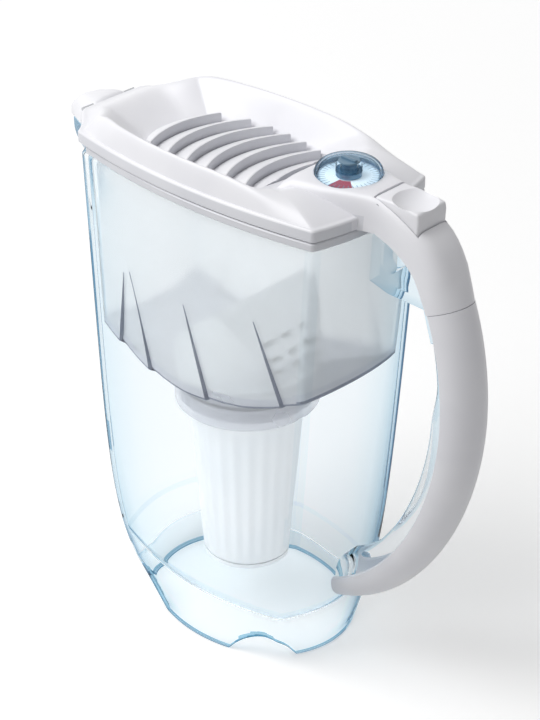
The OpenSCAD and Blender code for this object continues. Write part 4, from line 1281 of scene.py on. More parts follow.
@dataclass
class LidShell:
    """The white lid: a skirt, a crest round the bowl, and a bridge into the handle's tail.

    bridge_top and bridge_base are the bridge's and the tail's upper and lower outline in side
    view, x and z, up to where they follow the handle's path.
    """

    plan: RimPlan = PLAN
    path: HandlePath = PATH
    low_z: float = 249.9
    top_z: float = 256.0
    lap: float = 1.2
    edge_round: float = 1.5
    wall: float = 2.0
    cap_seam: float = 97.0
    spout_drop: tuple[float, float] = (4.2, 8.0)
    crest: float = 10.4
    crest_r: float = 0.12
    crest_run: float = 44.0
    crest_fall: tuple[float, float, float] = (0.55, 10.0, 62.0)
    crest_share: tuple[float, float, float] = (0.26, 0.28, 0.08)
    bowl_z: float = 249.8
    fill_spout: float = 60.0
    fill_end: float = 27.0
    fill_w: float = 30.0
    bridge_top: tuple[tuple[float, float], ...] = (
        (30.0, 254.0), (35.5, 259.0), (39.0, 264.4), (43.0, 266.6), (50.0, 266.6), (58.0, 266.6),
        (66.0, 266.6), (74.0, 266.6), (79.0, 266.6), (84.0, 266.2), (94.0, 262.6), (101.0, 259.2),
        (107.0, 256.2), (111.0, 253.9), (114.5, 250.9), (118.0, 246.8))
    bridge_base: tuple[tuple[float, float], ...] = (
        (30.0, 249.8), (35.5, 249.8), (39.0, 249.8), (43.0, 249.8), (50.0, 249.8), (58.0, 249.8),
        (66.0, 249.8), (74.0, 249.8), (79.0, 249.8), (84.0, 249.6), (92.0, 247.0), (97.0, 244.5),
        (100.5, 242.3), (103.5, 240.0), (106.0, 237.4), (108.0, 235.0))
    tail_t: float = 36.0
    tail_depth: float = 15.0
    dial_x: float = 58.0
    well_r: float = 15.8
    well_z: float = 264.0
    keep_wall: float = 2.0
    keep_h: float = 0.5
    seam_z: float = 226.0
    tray_low: tuple[float, float, float] = (79.2, -13.0, 230.0)
    tray_high: tuple[float, float, float] = (108.8, 13.0, 275.0)
    pocket: tuple[tuple[float, float], ...] = (
        (81.2, 248.0), (95.0, 248.0), (100.0, 245.5), (106.8, 243.0), (106.8, 275.0), (81.2, 275.0))
    pocket_half_w: float = 10.1
    leg_way_low: tuple[float, float, float] = (77.5, -2.9, 247.0)
    leg_way_high: tuple[float, float, float] = (81.6, 2.9, 259.6)
    skirt_end_x: float = 76.0

    def outline(self, inset: float) -> Array:
        """Plan of the lid's skirt, run out towards the spout and cut off at the cap's seam.

        Args:
            inset: distance in from the skirt.

        Returns:
            The x and y of each ring point.
        """
        plan = self.plan
        x, y = plan.plan(plan.rim_end + self.lap - inset, plan.rim_spout + self.lap - inset,
                         plan.rim_w + self.lap - inset, plan.rim_round)
        x = x - (plan.spout_reach - plan.rim_spout) * plan.run_out()
        return np.column_stack([np.maximum(x, -self.cap_seam + max(inset, 0.0)), y])

    def opening(self, inset: float = 0.0) -> Array:
        """Plan of the fill opening: round at the spout's side, straight at the dial's.

        Args:
            inset: distance in from the opening's edge.

        Returns:
            The x and y of each ring point.
        """
        unit, turn = self.plan.unit(), self.plan.turn()
        k = np.where(unit[:, 0] < 0, 0.75, 0.06)
        mid, half = (self.fill_end - self.fill_spout) / 2, (self.fill_end + self.fill_spout) / 2
        x = mid + (half - inset) * ((1 - k) * unit[:, 0] + k * np.cos(turn))
        y = (self.fill_w - inset) * ((1 - k) * unit[:, 1] + k * np.sin(turn))
        return np.column_stack([x, y])

    def at_handle(self) -> Array:
        """0 over most of the ring, 1 at the handle's end."""
        return smooth((self.plan.unit()[:, 0] - 0.55) / 0.4)

    def at_spout(self) -> Array:
        """0 over most of the ring, 1 at the spout's end."""
        return smooth((-self.plan.unit()[:, 0] - 0.6) / 0.38)

    def share(self) -> Array:
        """Where the crest stands between the skirt (0) and the opening (1)."""
        middle, handle, spout = self.crest_share
        return middle + handle * self.at_handle() + spout * self.at_spout()

    def crest_z(self, x: Array) -> Array:
        """Height of the crest along the lid: full at mid length, low at both ends.

        Args:
            x: places along the lid.

        Returns:
            One height for each place.
        """
        rise = smooth((x + self.cap_seam + 4) / self.crest_run)
        fall, start_x, run = self.crest_fall
        return self.top_z + self.crest * rise * (1 - fall * smooth((x - start_x) / run))

    def mix(self, t: Array | float) -> Array:
        """Plan a share t of the way from the skirt's rounded edge to the opening."""
        t = np.broadcast_to(np.asarray(t, float), (len(self.plan.turn()),))[:, None]
        return self.outline(self.edge_round) * (1 - t) + self.opening() * t

    def edge_z(self) -> Array:
        """Height of the bowl's inner edge."""
        return self.bowl_z + 5.1 * self.at_handle()

    def ring(self, plan_xy: Array, z: Array | float) -> Array:
        """Plan points with a height."""
        return np.column_stack([plan_xy, np.broadcast_to(np.asarray(z, float), (len(plan_xy),))])

    def band(self, u: float, drop: float = 0.0) -> Array:
        """A ring of the lid's top.

        Outside the crest the height rises as sin(90 u)^power. Inside it falls along a hyperbola
        that is rounded by crest_r at the crest and straight further down.

        Args:
            u: 0 at the skirt, 1 at the crest and 2 at the opening.
            drop: how far the ring lies below the top.

        Returns:
            Ring points.
        """
        share, r = self.share(), self.crest_r
        top = self.crest_z(self.mix(share)[:, 0])
        if u <= 1:
            rise = math.sin(math.pi / 2 * u) ** (0.9 + 1.1 * self.at_spout())
            return self.ring(self.mix(share * u), self.top_z + (top - self.top_z) * rise - drop)
        fall = 1 - (math.hypot(u - 1, r) - r) / (math.hypot(1, r) - r)
        height = self.edge_z() + (top - self.edge_z()) * fall - drop
        return self.ring(self.mix(share + (1 - share) * (u - 1)), height)

    def lower(self) -> Array:
        """Height of the skirt's lower edge: it drops over the spout.

        Returns:
            One height for each point of the edge.
        """
        out = self.plan.run_out()
        step, slope = self.spout_drop
        return self.low_z - step * np.minimum(1, out / 0.2) - slope * np.minimum(out, 0.3)

    def frame(self) -> bpy.types.Object:
        """Skins the skirt, crest and bowl as a closed loop of rings.

        Returns:
            The frame.
        """
        top = [self.band(u) for u in np.linspace(2.0, 0.0, 45)]
        turned = [self.ring(self.outline(self.edge_round * (1 - math.sin(a))),
                            self.top_z - self.edge_round * (1 - math.cos(a)))
                  for a in np.radians(np.linspace(15, 90, 6))]
        skirt = [self.ring(self.outline(inset), z) for inset, z in (
            (0.0, self.lower() + 0.3), (0.3, self.lower()), (self.wall, self.lower()),
            (self.wall, self.top_z - self.wall - 0.5))]
        under = [self.band(u, self.wall) for u in np.linspace(0.35, 2.0, 24)]
        return lofted("lid_body", np.stack(top + turned + skirt + under), loop=True, crease=40.0)

    def bridge_rings(self, d: float) -> Array:
        """Sections of the bridge and tail, kept d inside the outer shape.

        Each section is a superellipse arch over a flat base: square-shouldered on the bridge and
        half-elliptic at the handle, where it takes the cover's own section.

        Args:
            d: distance in from the outer shape.

        Returns:
            Array of sections x points x 3.
        """
        run = np.linspace(self.tail_t, self.path.angle(self.seam_z), 7)
        tail = self.path.inward(run, np.full(7, d))
        under = self.path.inward(run, np.full(7, self.tail_depth))
        top = np.concatenate([np.array(self.bridge_top) - (0.0, d), tail])
        base = np.concatenate([np.array(self.bridge_base), under])
        if d:
            base = base + (base - top) * 0.4
        width = np.interp(top[:, 0], [30, 36, 43, 58, 70, 79, 84],
                          [31, 27.5, 23.5, 20.2, 16.2, 13.2, 12.5]) - d
        flare = np.interp(top[:, 0], [30, 43, 70, 84], [3.0, 4.0, 3.0, 0.0])
        power = np.interp(np.arange(len(top)), [0, 11, 18, 22], [0.32, 0.36, 0.8, 1.0])[:, None]
        a = np.radians(np.linspace(-90, 90, 41))[None, :]
        high = np.maximum(np.cos(a), 0.0) ** power
        side = np.sign(np.sin(a)) * np.abs(np.sin(a)) ** power
        y = width[:, None] * side + np.sign(np.sin(a)) * flare[:, None] * (1 - high) ** 2
        arch = base[:, None, :] + (top - base)[:, None, :] * high[..., None]
        return np.stack([arch[..., 0], y, arch[..., 1]], -1)

    def build(self) -> bpy.types.Object:
        """Joins frame and bridge, hollows the bridge from below and cuts the well and the pocket.

        Returns:
            The lid.
        """
        lid = self.frame()
        bridge = lofted("bridge", self.bridge_rings(0.0), crease=40.0)
        hollow = lofted("hollow", self.bridge_rings(self.wall))
        keep = drum("keep", self.well_r + self.keep_wall, self.well_z - self.wall,
                    self.well_z + self.keep_h, self.dial_x)
        combine(hollow, [keep, block("tray", self.tray_low, self.tray_high)], Join.CUT)
        combine(bridge, [hollow], Join.CUT)
        combine(lid, [bridge], Join.ADD)
        well = drum("well", self.well_r, self.well_z, 280.0, self.dial_x)
        pocket = prism("pocket", np.array(self.pocket), -self.pocket_half_w, self.pocket_half_w)
        leg_way = block("leg_way", self.leg_way_low, self.leg_way_high)
        return combine(lid, [well, pocket, leg_way], Join.CUT, 38.0)

    def tint(self, piece: bpy.types.Object, skirt: bpy.types.Material) -> None:
        """Paints shade on the upright skirt: a slightly deeper copy of the white.

        Args:
            piece: the lid's piece.
            skirt: material of the skirt's painted shade.
        """
        piece.data.materials.append(skirt)
        middle, normal = face_data(piece)
        # Painted shade: upright faces low on the skirt, short of the handle's end.
        low = (middle[:, 2] < self.top_z - 0.7) & (middle[:, 0] < self.skirt_end_x)
        paint(piece, low & (np.abs(normal[:, 2]) < 0.35))


@dataclass
class FillFlap:
    """The louvred flap: arched steps on a plate, each tread rising from the last riser's foot."""

    lid: LidShell = field(default_factory=LidShell)
    rim_gap: float = 0.6
    plate_z: float = 247.7
    plate_top: float = 250.3
    groove: float = 1.0
    steps: int = 6
    pitch: float = 12.5
    step_h: float = 5.4
    step_r: float = 47.0
    tread_gap: float = 0.8
    arc_deg: float = 55.0
    first: float = -51.0
    slab_low: tuple[float, float] = (-61.0, -31.0)
    slab_high: tuple[float, float] = (28.0, 31.0)
    hinge_x: float = 25.0
    hinge_z: float = 245.1
    barrel_r: float = 2.4
    barrel_y: float = 22.0
    barrel_half_w: float = 4.5
    lug_top: float = 248.7
    pin_r: float = 1.58
    spring_x: tuple[float, float] = (19.3, 26.2)
    spring_y: float = 14.7
    spring_top: float = 249.65
    spring_half_w: float = 1.0

    def wedge(self, apex: float) -> bpy.types.Object:
        """One louvre: an arched riser with a rounded top edge and a tread that falls to the spout.

        Args:
            apex: x of the riser's middle.

        Returns:
            The object.
        """
        r, foot, top = self.step_r, self.plate_top, self.plate_top + self.step_h
        back = r + self.pitch - self.tread_gap
        section = np.array([[r, foot - 1.5], [r, top - 0.7], [r + 0.2, top - 0.2], [r + 0.7, top],
                            [back, foot + 0.3], [back, foot - 1.5]])
        a = np.radians(np.linspace(180 - self.arc_deg, 180 + self.arc_deg, 71))[:, None]
        x = apex + r + section[:, 0] * np.cos(a)
        y = section[:, 0] * np.sin(a)
        z = np.repeat(section[None, :, 1], len(a), 0)
        return lofted("wedge", np.stack([x, y, z], -1), crease=30.0)

    def build(self) -> bpy.types.Object:
        """Joins plate and louvres inside the opening's outline and adds the hinge barrels.

        Returns:
            The flap.
        """
        plan = self.lid.opening(self.rim_gap)
        rings = [self.lid.ring(plan, z) for z in (self.plate_z, self.plate_top + self.step_h + 0.3)]
        flap = lofted("fill_flap_louvres", np.stack(rings))
        slab = block("slab", (*self.slab_low, self.plate_z - 0.01),
                     (*self.slab_high, self.plate_top - self.groove))
        wedges = [self.wedge(self.first + k * self.pitch) for k in range(self.steps + 1)]
        combine(slab, wedges, Join.ADD)
        combine(flap, [slab], Join.KEEP, 30.0)
        barrels = []
        for middle in (-self.barrel_y, self.barrel_y):
            low, high = middle - self.barrel_half_w, middle + self.barrel_half_w
            barrels.append(prism("barrel", circle(self.hinge_x, self.hinge_z, self.barrel_r), low, high))
            barrels.append(block("lug", (self.hinge_x - self.barrel_r, low, self.hinge_z),
                                 (self.hinge_x, high, self.lug_top)))
        combine(flap, barrels, Join.ADD, 30.0)
        pin = prism("pin_way", circle(self.hinge_x, self.hinge_z, self.pin_r), -31, 31)
        leg = block("leg", (self.spring_x[0], self.spring_y - self.spring_half_w, self.hinge_z),
                    (self.spring_x[1], self.spring_y + self.spring_half_w, self.spring_top))
        return combine(flap, [pin, leg], Join.CUT, 30.0)

    def tint(self, piece: bpy.types.Object, riser: bpy.types.Material) -> None:
        """Paints shade on the louvres' upright risers: a darker copy of the white.

        Args:
            piece: the flap's piece.
            riser: material of the risers' painted shade.
        """
        piece.data.materials.append(riser)
        middle, normal = face_data(piece)
        # Painted shade: risers that face towards the handle, above the plate.
        upright = (normal[:, 0] > 0.4) & (np.abs(normal[:, 2]) < 0.5)
        paint(piece, upright & (middle[:, 2] > self.plate_top - 0.8))


@dataclass
class ThumbButton:
    """The dished thumb button on the tail, with the leg that pushes the rod."""

    width: float = 19.6
    edge_round: float = 1.2
    outline: tuple[tuple[float, float], ...] = (
        (81.5, 266.0), (90.0, 266.3), (98.0, 266.0), (105.8, 265.0), (106.4, 262.0),
        (106.0, 250.5), (97.5, 255.5), (86.1, 260.4), (82.9, 260.4), (81.5, 262.8))
    pin_x: float = 84.5
    pin_z: float = 262.6
    pin_r: float = 1.28
    dish_x: float = 97.5
    dish_r: float = 17.0
    dish_z: float = 262.2
    leg_half: tuple[float, float] = (1.4, 2.2)
    leg_low_z: float = 250.9
    leg_top_z: float = 261.5
    nose_r: float = 1.5

    def build(self) -> bpy.types.Object:
        """Bevels a side profile, adds leg and nose, and sinks the dish as part of a sphere.

        Returns:
            The button.
        """
        cap = prism("thumb_button_cap", np.array(self.outline), -self.width / 2, self.width / 2,
                    self.edge_round)
        long, wide = self.leg_half
        leg = block("leg", (self.pin_x - long, -wide, self.leg_low_z),
                    (self.pin_x + long, wide, self.leg_top_z))
        nose = prism("nose", circle(self.pin_x, self.leg_low_z, self.nose_r), -wide, wide)
        combine(cap, [leg, nose], Join.ADD)
        a = np.linspace(0, math.pi, 49)
        profile = self.dish_r * np.column_stack([np.sin(a), 1 - np.cos(a)]) + (0.0, self.dish_z)
        profile[[0, -1], 0] = 0.0
        dish = lathe("dish", profile.tolist(), (self.dish_x, 0.0), 96)
        way = prism("way", circle(self.pin_x, self.pin_z, self.pin_r), -12.0, 12.0)
        return combine(cap, [dish, way], Join.CUT, 30.0)


@dataclass
class SpoutCap:
    """The small white cap over the spout: a crowned plate that narrows to the tip.

    top and low are its upper and lower outline in side view, x and z, from the tip.
    """

    seam_x: float = -97.3
    tip_x: float = -127.9
    half_w: float = 15.2
    wall: float = 1.8
    edge_h: float = 0.4
    top: tuple[tuple[float, float], ...] = (
        (-128.0, 241.6), (-124.8, 245.6), (-117.0, 251.8), (-111.0, 254.4), (-103.0, 256.0),
        (-99.5, 256.2), (-98.3, 255.8), (-97.3, 254.6))
    low: tuple[tuple[float, float], ...] = ((-128.0, 237.9), (-97.0, 246.0))
    spout_from: float = 85.0
    spout_run: float = 43.0
    spout_w: float = 38.0
    tip_round: float = 14.0
    crown: tuple[float, float] = (3.4, 0.55)
    inner_w: float = 0.93
    across: int = 25

    def build(self) -> bpy.types.Object:
        """Lofts crowned sections from the seam to the tip.

        The width follows the spout's: w * (1 - run^0.6) + 1, rounded off at the tip. A section
        is (1 - |u|^p)^q high at a share u of its half width, p and q being the crown's powers.

        Returns:
            The object.
        """
        s = np.linspace(0, 1, 40)
        x = self.seam_x + (self.tip_x - self.seam_x) * s
        run = np.clip((-x - self.spout_from) / self.spout_run, 0, 1)
        width = np.minimum(self.half_w, self.spout_w * (1 - run ** 0.6) + 1.0)
        width = width * np.sqrt(np.clip(1 - (s / 1.004) ** self.tip_round, 0.02, 1))
        top = np.interp(x, *np.array(self.top).T)[:, None]
        low = np.interp(x, *np.array(self.low).T)[:, None]
        u = np.linspace(-1, 1, self.across)
        power, flat = self.crown
        crown = (1 - np.abs(u) ** power) ** flat
        high = low + self.edge_h + (top - low - self.edge_h) * crown
        under = np.maximum(np.minimum(high - self.wall, top), low - 0.2)
        y = width[:, None] * u
        over = np.stack([np.repeat(x[:, None], self.across, 1), y, high], -1)
        below = np.stack([np.repeat(x[:, None], self.across, 1), y * self.inner_w, under], -1)
        rings = np.concatenate([over, below[:, ::-1]], 1)
        return channel("spout_cap_plate", rings, self.across, 32.0)


# ---------------------------------------------------------------- counter dial


@dataclass
class CounterDial:
    """The counter dial: a clear dome with a knob over a printed disc."""

    x: float = 58.0
    r: float = 15.5
    bridge_z: float = 266.6
    low_z: float = 265.1
    top_z: float = 271.6
    flat_share: float = 0.62
    collar: float = 1.0
    collar_h: float = 2.4
    knob_r: float = 5.0
    knob_gap: float = 0.05
    knob_head: float = 0.8
    axle_r: float = 1.58
    axle_hole_h: float = 5.2
    grip_half_w: float = 1.0
    grip_h: float = 1.75
    wall: float = 1.4
    disc_z: float = 264.0
    disc_r: float = 13.8
    disc_h: float = 0.8
    disc_hole_r: float = 1.5
    ticks: int = 36
    tick_from: float = 10.6
    tick_half: float = 0.09
    sector_from: float = 6.2
    sector_at: float = -1.15
    sector_half: float = 0.42

    def dome(self) -> bpy.types.Object:
        """Turns the dome: a flat top with quarter-elliptic shoulders and a collar for the knob.

        Returns:
            The dome.
        """
        r, z, wall, knob, inset = self.r, self.bridge_z, self.wall, self.knob_r, self.collar
        flat, rise = r * self.flat_share, self.top_z - self.bridge_z
        a = np.radians(np.linspace(0, 90, 12))
        outer = np.column_stack([flat + (r - flat) * np.cos(a), z + rise * np.sin(a)])
        inner = np.column_stack([flat + (r - flat - wall) * np.cos(a), z + (rise - wall) * np.sin(a)])
        profile = np.concatenate([
            [[r, self.low_z]], outer,
            [[knob - inset, self.top_z], [knob - inset, self.low_z + self.collar_h],
             [knob + inset, self.low_z + self.collar_h], [knob + inset, self.top_z - wall]],
            inner[::-1], [[r - wall, self.low_z]]])
        return lathe("counter_dome_shell", profile.tolist(), (self.x, 0.0), crease=38.0)

    def knob(self) -> bpy.types.Object:
        """Turns the knob, a spool whose waist runs in the dome's collar, and adds its grip.

        Returns:
            The knob.
        """
        r, low, top, bore = self.knob_r, self.low_z, self.top_z, self.axle_r
        waist, head, ease = r - self.collar - self.knob_gap, top + self.knob_head, 0.2
        profile = [(bore, low), (r + 0.8, low), (r + 0.8, low + self.collar_h - 0.1),
                   (waist, low + self.collar_h), (waist, top + self.knob_gap), (r - ease, top + 0.1),
                   (r, top + 0.3), (r - ease, head), (0.3, head), (0.3, low + self.axle_hole_h),
                   (bore, low + self.axle_hole_h)]
        knob = lathe("counter_knob_body", profile, (self.x, 0.0), 96)
        reach = r - 0.8
        grip = block("grip", (self.x - reach, -self.grip_half_w, top + ease),
                     (self.x + reach, self.grip_half_w, top + self.grip_h))
        return combine(knob, [rounded(grip, 0.35)], Join.ADD)

    def disc(self) -> bpy.types.Object:
        """Turns the thin printed disc, with its outer edges chamfered.

        Returns:
            The disc.
        """
        z, top, r, cut = self.disc_z, self.disc_z + self.disc_h, self.disc_r, 0.1
        profile = [(self.disc_hole_r, z), (r - cut, z), (r, z + cut), (r, top - cut), (r - cut, top),
                   (self.disc_hole_r, top)]
        return lathe("counter_disc_card", profile, (self.x, 0.0))

    def card(self) -> bpy.types.Material:
        """Printed card: pale ground, even tick marks round the rim and a red sector.

        Angle and radius about the dial's axis come from object coordinates moved to that axis.
        A tick is where angle * ticks / 360 is near a whole number, outside tick_from.

        Returns:
            The material.
        """
        made, tree, skin, place = start("printed counter card")
        moved = add_node(tree, "Mapping", values={"Location": (-(self.x + AXIS_X) * MM, 0, 0)},
                         links={"Vector": place}).outputs["Vector"]
        parts = add_node(tree, "SeparateXYZ", links={"Vector": moved}).outputs
        angle = add_node(tree, "Math", {"operation": "ARCTAN2"},
                         links={0: parts["Y"], 1: parts["X"]}).outputs[0]
        flat = add_node(tree, "CombineXYZ", links={"X": parts["X"], "Y": parts["Y"]}).outputs[0]
        radius = add_node(tree, "VectorMath", {"operation": "LENGTH"}, links={0: flat}).outputs["Value"]

        def step(operation: str, first: bpy.types.NodeSocket, values: dict | None = None,
                 second: bpy.types.NodeSocket | None = None) -> bpy.types.NodeSocket:
            """One sum on a socket, with fixed values or with a second socket."""
            links = {0: first} if second is None else {0: first, 1: second}
            return add_node(tree, "Math", {"operation": operation}, values, links).outputs[0]

        turned = step("MULTIPLY", angle, {1: self.ticks / (2 * math.pi)})
        line = step("LESS_THAN", step("PINGPONG", turned, {1: 0.5}), {1: self.tick_half})
        outer = step("GREATER_THAN", radius, {1: self.tick_from * MM})
        sector = step("COMPARE", angle, {1: self.sector_at, 2: self.sector_half})
        ring = step("GREATER_THAN", radius, {1: self.sector_from * MM})
        ground = add_node(tree, "Mix", {"data_type": "RGBA"}, {6: srgb("#F1F6FA"), 7: srgb("#A8525F")},
                          {0: step("MULTIPLY", sector, second=ring)})
        marked = add_node(tree, "Mix", {"data_type": "RGBA"}, {7: srgb("#7C8C99")},
                          {0: step("MULTIPLY", line, second=outer), 6: ground.outputs[2]})
        tree.links.new(marked.outputs[2], skin.inputs["Base Color"])
        skin.inputs["Roughness"].default_value = 0.5
        return made


# ---------------------------------------------------------------- cartridge


@dataclass
class Cartridge:
    """The plug-in cartridge: a fluted, tapered body with a neck, a flange and a slotted wedge cap."""

    x: float = -4.5
    top_r: float = 29.2
    low_r: float = 23.0
    wall: float = 1.8
    floor_z: float = 33.4
    flute: float = 0.22
    flutes: int = 24
    neck_z: float = 126.0
    neck_r: float = 33.7
    neck_bore: float = 30.5
    groove_z: tuple[float, float] = (130.5, 133.1)
    groove: float = 0.9
    seat_z: float = 144.3
    flange_r: float = 36.6
    flange_round: float = 0.4
    top_z: float = 147.3
    cap_rise: float = 38.0
    cap_round: float = 1.6
    cap_r: float = 35.1
    slot_rows: int = 3
    slot_low: float = 6.0
    slot_pitch: tuple[float, float] = (12.0, 6.5)
    slot_half_w: float = 3.5
    slot_h: float = 3.0

    def body(self) -> bpy.types.Object:
        """Turns the body with shallow upright flutes between floor and neck.

        Returns:
            The body.
        """
        low, z, neck, out, turn = self.low_r, self.floor_z, self.neck_r, self.flange_r, self.flange_round
        flank = [(low + (self.top_r - low) * s, z + (self.neck_z - 2 - z) * s, float(0.04 < s < 0.93))
                 for s in np.linspace(0.02, 1, 18)]
        groove_low, groove_top = self.groove_z
        outer = [(low - 1.0, z), (low - 0.3, z + 0.3)] + flank + [
            (neck, self.neck_z + 1), (neck, groove_low), (neck - self.groove, groove_low + 0.5),
            (neck - self.groove, groove_top - 0.5), (neck, groove_top), (neck, self.seat_z),
            (out - turn, self.seat_z), (out, self.seat_z + turn), (out, self.top_z - turn),
            (out - turn, self.top_z)]
        inner = [(self.neck_bore, self.top_z), (self.neck_bore, self.neck_z + 2),
                 (self.top_r - self.wall - 0.4, self.neck_z - 2), (low - self.wall - 0.4, z)]
        return lathe("cartridge_shell", outer + inner, (self.x, 0.0), 288, 32.0, self.flute, self.flutes)

    def wedge(self, d: float) -> Array:
        """Side outline of the cap: a long slope to the ridge and a steep face.

        Args:
            d: how far the outline is moved in.

        Returns:
            The x and z of each corner.
        """
        r, z, h = self.flange_r - 3.0, self.top_z, self.cap_rise
        outline = np.array([[-r + d, z], [-r + d, z + 3 - d], [8.5 + d * 0.6, z + h - d],
                            [13.5 - d * 0.4, z + h - d], [24.5 - d, z + h * 0.62 - d],
                            [r - d, z + h * 0.3 - d], [r - d, z]])
        return outline + (self.x, 0.0)

    def cap(self) -> bpy.types.Object:
        """Trims the wedge to the flange, rounds it, hollows it and cuts its rows of slots.

        Returns:
            The cap.
        """
        outer = prism("cartridge_cap_shell", self.wedge(0.0), -40, 40)
        combine(outer, [drum("drum", self.cap_r, 140, 200, self.x, 160)], Join.KEEP)
        rounded(outer, self.cap_round, 4)
        inner = prism("inner", self.wedge(self.wall), -40, 40)
        combine(inner, [drum("core", self.cap_r - self.wall, 140, 200, self.x, 160)], Join.KEEP)
        across, up = self.slot_pitch
        slots = []
        for row in range(self.slot_rows):
            for middle in (-across, 0, across):
                z = self.top_z + self.slot_low + row * up
                slots.append(block("slot", (self.x, middle - self.slot_half_w, z),
                                   (self.x + 42, middle + self.slot_half_w, z + self.slot_h)))
        combine(outer, [inner], Join.CUT)
        return combine(outer, slots, Join.CUT, 30.0)


# ---------------------------------------------------------------- studio


@dataclass
class Studio:
    """A pale floor, a soft lamp and a white surround.

    Eye rays, straight, mirrored or through glass, see the surround and the floor's glow. Other
    rays get only the dimmer fill, so the white behind the object adds no light to it. The glow
    grows from floor_glow to far_glow between the distances near and far, in metres.
    """

    surround: float = 1.0
    fill: float = 0.38
    floor_glow: float = 0.43
    far_glow: float = 0.8
    near: float = 0.3
    far: float = 2.2
    floor_mm: float = 12000.0
    floor_colours: tuple[str, str] = ("#DDDDDD", "#E1E1E1")
    paper_mm: float = 1.111
    lamp_at: tuple[float, float, float] = (-0.45, -0.56, 1.1)
    lamp_aim: tuple[float, float, float] = (0.0, 0.0, 0.15)
    lamp_size: float = 0.85
    lamp_power: float = 10.8

    def floor(self) -> None:
        """Lays a wide floor that stays white and keeps the object's shadow."""
        points = self.floor_mm * np.array([[-1, -1, 0], [1, -1, 0], [1, 1, 0], [-1, 1, 0]], float)
        piece = build("floor", points, [[0, 1, 2, 3]])
        made, tree, skin, place = start("white paper sweep")
        grain = add_node(tree, "TexNoise", values={"Scale": 1000.0 / self.paper_mm},
                         links={"Vector": place})
        tone = add_node(tree, "ValToRGB", links={"Fac": grain.outputs["Fac"]},
                        stops=list(zip((0.3, 0.6), self.floor_colours)))
        tree.links.new(tone.outputs["Color"], skin.inputs["Base Color"])
        skin.inputs["Roughness"].default_value = 0.9
        skin.inputs["Specular IOR Level"].default_value = 0.1
        away = add_node(tree, "VectorMath", {"operation": "LENGTH"}, links={0: place}).outputs["Value"]
        lift = add_node(tree, "MapRange", values={
            "From Min": self.near, "From Max": self.far, "To Min": self.floor_glow,
            "To Max": self.far_glow}, links={"Value": away})
        strength = add_node(tree, "Math", {"operation": "MULTIPLY"},
                            links={0: self.seen(tree, 0.0, 1.0), 1: lift.outputs["Result"]})
        glow = add_node(tree, "Emission", links={"Strength": strength.outputs[0]})
        both = add_node(tree, "AddShader", links={0: skin.outputs[0], 1: glow.outputs[0]})
        tree.links.new(both.outputs[0], tree.nodes["Material Output"].inputs["Surface"])
        piece.data.materials.append(made)

    def seen(self, tree: bpy.types.NodeTree, unseen: float, seen: float) -> bpy.types.NodeSocket:
        """Tells the rays that the eye sees, straight, mirrored or through glass, from the rest.

        Args:
            tree: the node tree.
            unseen: value for the rays that only carry light.
            seen: value for the rays that the eye sees.

        Returns:
            The socket with the value.
        """
        path = add_node(tree, "LightPath").outputs
        either = add_node(tree, "Math", {"operation": "MAXIMUM"},
                          links={0: path["Is Camera Ray"], 1: path["Is Glossy Ray"]})
        either = add_node(tree, "Math", {"operation": "MAXIMUM"},
                          links={0: either.outputs[0], 1: path["Is Transmission Ray"]})
        return add_node(tree, "MapRange", values={"To Min": unseen, "To Max": seen},
                        links={"Value": either.outputs[0]}).outputs["Result"]

    def world(self) -> None:
        """White for camera, glossy and transmitted rays; dimmer for the light it gives."""
        world = bpy.data.worlds.new("surround")
        bpy.context.scene.world = world
        world.use_nodes = True
        tree = world.node_tree
        back = tree.nodes["Background"]
        back.inputs["Color"].default_value = (1.0, 1.0, 1.0, 1.0)
        tree.links.new(self.seen(tree, self.fill, self.surround), back.inputs["Strength"])

    def lamp(self) -> None:
        """Hangs one square soft lamp that looks at the middle of the object."""
        data = bpy.data.lights.new("key", "AREA")
        data.size = self.lamp_size
        data.energy = self.lamp_power
        made = bpy.data.objects.new("key", data)
        bpy.context.scene.collection.objects.link(made)
        made.location = self.lamp_at
        made.rotation_mode = "QUATERNION"
        made.rotation_quaternion = (Vector(self.lamp_at) - Vector(self.lamp_aim)).to_track_quat("Z", "Y")

    def build(self) -> None:
        """Sets up floor, surround and lamp."""
        self.floor()
        self.world()
        self.lamp()
        bpy.context.scene.view_settings.view_transform = "Standard"


@dataclass
class Camera:
    """The view from above the handle's near side.

    Angles are in degrees and lengths in metres. The focal length and the centre of the view
    are in pixels of a frame of frame_px.
    """

    azimuth: float = 43.64
    elevation: float = 31.95
    distance: float = 0.98186
    target: tuple[float, float, float] = (-0.0065, 0.0, 0.130)
    focal_px: float = 1972.98
    centre_px: tuple[float, float] = (254.34, 384.94)
    frame_px: tuple[float, float] = (540.0, 720.0)
    sensor_mm: float = 36.0

    def build(self) -> None:
        """Places the camera."""
        az, el = math.radians(self.azimuth), math.radians(self.elevation)
        back = Vector((math.sin(az) * math.cos(el), -math.cos(az) * math.cos(el), math.sin(el)))
        data = bpy.data.cameras.new("camera")
        made = bpy.data.objects.new("camera", data)
        bpy.context.scene.collection.objects.link(made)
        made.location = Vector(self.target) + back * self.distance
        made.rotation_mode = "QUATERNION"
        made.rotation_quaternion = (-back).to_track_quat("-Z", "Y")
        wide, high = self.frame_px
        data.sensor_width = self.sensor_mm
        data.lens = self.focal_px * self.sensor_mm / high
        data.shift_x = (wide / 2 - self.centre_px[0]) / high
        data.shift_y = (self.centre_px[1] - high / 2) / high
        bpy.context.scene.camera = made


# ---------------------------------------------------------------- finishes in use

# Moulded polypropylene: a soft, slightly cool white with a satin gleam on rounded edges.
WHITE = Moulding("white polypropylene, injection moulded", "#ECECF0", "#E6E6EB")
# The same, a little duller and a touch lighter, for the flap.
TREAD = Moulding("white polypropylene, flap", "#F0F0F3", "#EAEAEE", roughness=0.38)
# The same with a coarser satin: highlights on the cover stay broad and weak.
COVER = Moulding("white polypropylene, satin texture", "#ECECF0", "#E6E6EB", roughness=0.4)
